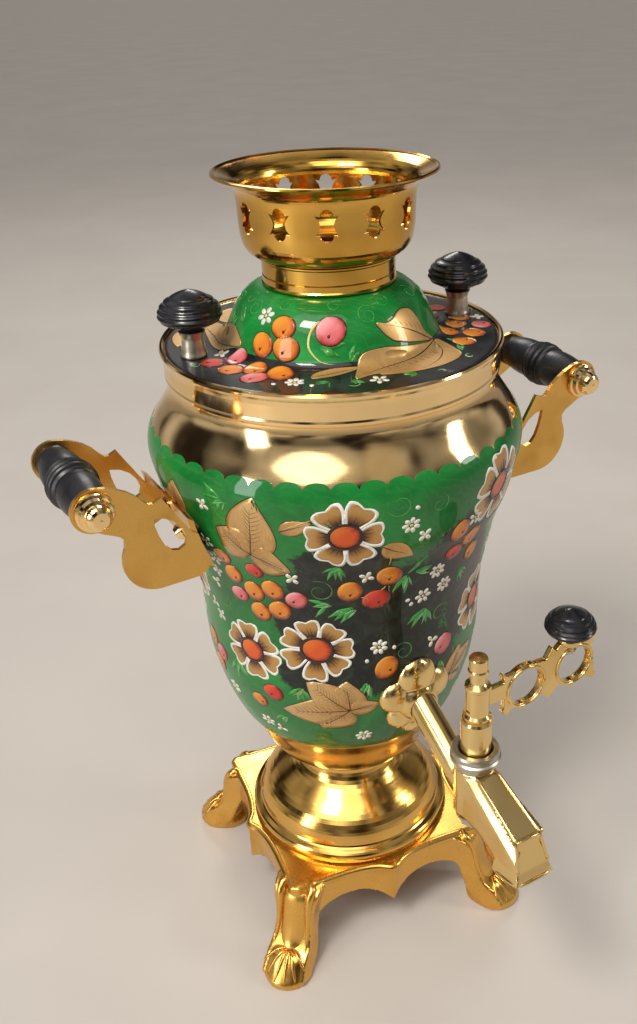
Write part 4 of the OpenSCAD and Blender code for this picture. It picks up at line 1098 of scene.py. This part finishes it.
            # gold leaf behind the left knob
            shape([(96, 38.8), (88, 40.5), (80, 44.0), (62, 46.0), (48, 50.0), (38, 54.5), (40, 46.5),
                (50, 41.4), (66, 38.4), (82, 37.0)], (68, 42.4), turn)
            line([(94, 39.4), (76, 41.6), (60, 44.0), (43, 51.5)], turn, 0.42, paint_line)
            for k in range(7):
                line([(84 - 5 * k, 41.0 + 0.9 * k), (80 - 5 * k, 39.6 + 0.9 * k)], turn, 0.2, paint_line)
            shape([(70, 57.0), (62, 52.8), (54, 54.0), (52, 58.5), (60, 59.6)], (60, 56.4), turn)
    pa.finish("lid_painting", "lid", "painted_lid")


paint_lid_motifs()


# ---------------------------------------------------------------- materials of the CAD nodes that stay
finish_of = {
    "polished_brass": brass, "crown_brass": brass_crown, "black_knob": black_knob, "black_grip": black_grip,
    "nickel": nickel, "steel": steel, "rubber_seal": rubber, "insulator": ceramic,
    "painted_body": brass, "painted_lid": brass}
special = {"plinth": brass_cast, "pedestal": brass_gold, "tap_rosette": brass_tap, "tap_body": brass_tap,
    "tap_lever": brass_tap,
           "tap_plug": brass_tap, "waist_collar": brass_gold,
           "handle_bracket_left": brass_sheet, "handle_bracket_right": brass_sheet}
slots = {s["node"]: s["material_slot"] for s in frame["record"]["subparts"]}
for name, ob in nodes.items():
    ob.data.materials.clear()
    ob.data.materials.append(special.get(name, finish_of[slots[name]]))

# ---------------------------------------------------------------- softer castings and small raised details
def soften(name, voxel, rounds):
    """Rounds the edges of a cast piece."""
    ob = nodes[name]
    r = ob.modifiers.new("rounding", "REMESH")
    r.mode = "VOXEL"
    r.voxel_size = voxel * MM
    r.use_smooth_shade = True
    m = ob.modifiers.new("polish", "SMOOTH")
    m.factor = 0.5
    m.iterations = rounds


soften("plinth", 0.75, 5)
soften("tap_body", 0.5, 4)
soften("tap_rosette", 0.42, 5)
soften("tap_lever", 0.32, 3)


for name in ("handle_bracket_left", "handle_bracket_right"):
    edge = nodes[name].modifiers.new("rounded_edges", "BEVEL")
    edge.width = 0.45 * MM
    edge.segments = 2
    edge.limit_method = "ANGLE"
    edge.angle_limit = math.radians(50)


def tube(paths, sides=10, start_up=None):
    """Verts and faces of closed tubes; a path is a list of (point in mm, radius or (side, up) radii)."""
    verts, faces = [], []
    for number, path in enumerate(paths):
        pts = np.array([q for q, _ in path], float)
        rad = np.array([r if isinstance(r, tuple) else (r, r) for _, r in path], float)
        d = np.gradient(pts, axis=0)
        d /= np.linalg.norm(d, axis=1)[:, None] + 1e-12
        up = np.array([0.0, 0.0, 1.0]) if abs(d[0][2]) < 0.9 else np.array([1.0, 0.0, 0.0])
        if start_up is not None:
            up = np.array(start_up[number], float)
        base = len(verts)
        for q, t, r in zip(pts, d, rad):
            side = np.cross(t, up)
            side /= np.linalg.norm(side) + 1e-12
            up = np.cross(side, t)
            for k in range(sides):
                a = 2 * math.pi * k / sides
                verts.append((q + side * math.cos(a) * r[0] + up * math.sin(a) * r[1]) * MM)
        n = len(pts)
        for i in range(n - 1):
            for k in range(sides):
                a, b = base + i * sides + k, base + i * sides + (k + 1) % sides
                faces.append((a, b, b + sides, a + sides))
        faces.append(tuple(base + k for k in reversed(range(sides))))
        faces.append(tuple(base + (n - 1) * sides + k for k in range(sides)))
    return verts, faces


base_turn = math.radians(-7.8)


def spun(x, y, z, a):
    return (x * math.cos(a) - y * math.sin(a), x * math.sin(a) + y * math.cos(a), z)


def plinth_beads():
    """The rolled edge of the plate, running down both edges of every leg."""
    leg = [(59.4, 7.0, 38.3), (62.2, 6.9, 35.6), (64.0, 6.8, 31.0), (65.1, 6.8, 25.5), (66.8, 7.0, 19.2),
        (69.6, 7.4, 14.0), (73.0, 7.8, 10.6), (76.0, 7.6, 9.0)]
    half = math.sqrt(0.5)
    paths = []
    for k in range(4):
        pts = []
        pts += [(-(d - w) * half, -(d + w) * half, z) for d, w, z in reversed(leg)]
        for i in range(-8, 9):
            x = 37.0 * i / 8
            y = 44.5 + 1.6 * (abs(x) / 44.5) ** 2 + 6.5 * math.exp(-abs(x) / 9)
            pts.append((x, -y + 1.1, 38.5))
        pts += [((d - w) * half, -(d + w) * half, z) for d, w, z in leg]
        line = resample(smooth(pts, 5), 1.3)
        t = np.linspace(0, 1, len(line))
        edge = np.minimum(t, 1 - t)
        rad = 0.35 + 1.7 * np.clip((edge - 0.03) / 0.2, 0, 1)
        paths.append([(spun(*q, base_turn + k * math.pi / 2), r) for q, r in zip(line, rad)])
    return paths


new_object("plinth_rolled_edge", *tube(plinth_beads(), 12), [brass_cast], "samovar", "polished_brass")


def leg_fronts():
    """The rounded front of each leg, standing a little out of the casting."""
    line = smooth([[56, 39.2], [60.6, 37.2], [63.2, 33], [64.7, 26.5], [66.4, 19.5], [69.6, 13.8],
        [73.0, 11.4]], 5)
    d = np.gradient(line, axis=0)
    d /= np.linalg.norm(d, axis=1)[:, None]
    mids = line - np.column_stack([-d[:, 1], d[:, 0]]) * 1.6
    t = np.linspace(0, 1, len(line))
    swell = np.sqrt(np.clip(np.minimum(t / 0.3, (1 - t) / 0.3), 0, 1))
    paths, ups = [], []
    for k in range(4):
        a = base_turn + math.radians(45 + 90 * k)
        paths.append([(spun(q[0], 0, q[1], a), (3.0 + 3.6 * w, 0.8 + 2.2 * w)) for q,
            w in zip(mids, swell)])
        ups.append((0, 0, 1))
    return paths, ups


paths, ups = leg_fronts()
new_object("leg_fronts", *tube(paths, 24, ups), [brass_cast], "samovar", "polished_brass")


def toe_flutes():
    """Raised flutes fanning over the toes, laid on the surface of the plinth."""
    me = nodes["plinth"].data
    tree = BVHTree.FromPolygons([v.co for v in me.vertices], [p.vertices for p in me.polygons])
    paths = []
    for k in range(4):
        a = base_turn + math.radians(45 + 90 * k)
        for fan in (-62, -37, -12, 12, 37, 62):
            path = []
            for i in range(11):
                t = i / 10
                reach = 2.2 + 11.5 * t
                x = 70.5 + reach * math.cos(math.radians(fan))
                y = reach * math.sin(math.radians(fan)) * 0.86
                px, py, _ = spun(x, y, 0, a)
                hit = tree.ray_cast(Vector((px * MM, py * MM, 0.03)), Vector((0, 0, -1)))[0]
                if hit is None or hit.z < 0.0016:
                    break
                path.append(((px, py, hit.z / MM - 0.25),
                    0.85 * math.sin(math.pi * min(1, 0.25 + 0.75 * t)) ** 0.5 * 0.9 + 0.12))
            if len(path) > 4:
                paths.append(path)
    return paths


new_object("toe_flutes", *tube(toe_flutes(), 8), [brass_cast], "samovar", "polished_brass")


def tap_details():
    """Edge lines of the beak and the rolled lip of its mouth."""
    paths = []
    for s in (-1, 1):
        pts = [(s * 4.0, -101.5, 130.6), (s * 4.3, -104.6, 130.2), (s * 4.5, -110, 128.2),
            (s * 4.7, -116, 125.8), (s * 4.9, -122, 123.3),
               (s * 5.2, -126.8, 121.0), (s * 5.7, -128.6, 116.5), (s * 6.6, -130.6, 110.4)]
        line = resample(smooth(pts, 4), 1.0)
        paths.append([(tuple(q), 0.62) for q in line])
    tilt = math.radians(-14)
    lip = []
    for i in range(49):
        a = 2 * math.pi * i / 48
        c, q = math.cos(a), math.sin(a)
        x = 7.9 * math.copysign(abs(c) ** 0.45, c)
        y = 7.3 * math.copysign(abs(q) ** 0.45, q)
        lip.append(((x, -125.4 + y * math.cos(tilt), 103.9 + y * math.sin(tilt)), 0.72))
    paths.append(lip)
    brow = [(x, -127.7 + 0.02 * x * x, 121.1 - 0.03 * x * x) for x in np.linspace(-5.4, 5.4, 12)]
    paths.append([(q, 0.6) for q in brow])
    return paths


new_object("tap_edge_lines", *tube(tap_details(), 8), [brass_tap], "samovar", "polished_brass")


def lever_rims():
    """Raised rims around both rings of the lever, on both faces."""
    paths = []
    for x, z in ((21.0, 158.2), (43.6, 159.0)):
        for y in (-1.35, 1.35):
            ring = []
            for i in range(61):
                a = 2 * math.pi * i / 60
                ring.append(((x + 8.35 * math.cos(a), -96 + y, z + 8.35 * math.sin(a)), 0.62))
            paths.append(ring)
    return paths


new_object("lever_rims", *tube(lever_rims(), 8), [brass_tap], "tap_key", "polished_brass")

# ---------------------------------------------------------------- floor
bpy.ops.mesh.primitive_plane_add(size=60, location=(0, 0, cad_low.z))
floor = bpy.context.object
floor.name = "floor"
k = Mat("floor_pale")
k.set(Base_Color=k.ramp(k.noise(k.coords(), 6.0, 3.0, 0.6),
    [(0.3, (0.5, 0.46, 0.42)), (0.7, (0.54, 0.5, 0.455))]), Roughness=0.6)
floor.data.materials.append(k.m)

world = bpy.data.worlds.new("studio") if scene.world is None else scene.world
scene.world = world
world.use_nodes = True
sky = Nodes(world.node_tree)
direction = sky.coords("Generated")
# bands of tone from below to above, times soft patches, give the brass something to mirror
tones = [(0.0, 0.1), (0.02, 0.26), (0.12, 0.34), (0.26, 0.12), (0.42, 0.08), (0.6, 0.3), (0.8, 0.34),
    (1.0, 0.2)]
bands = sky.ramp(sky.part(direction, "Z"), [(place, (v, v * 0.96, v * 0.92)) for place, v in tones])
patches = sky.ramp(sky.noise(direction, 2.3, 1.5, 0.5),
    [(0.42, (0.12, 0.1, 0.09)), (0.56, (1.5, 1.5, 1.5))])
bg = next(n for n in world.node_tree.nodes if n.type == "BACKGROUND")
sky.put(bg.inputs["Color"], sky.mix(1.0, bands, patches, "MULTIPLY"))
bg.inputs["Strength"].default_value = 1.0
scene.view_settings.view_transform = "Standard"
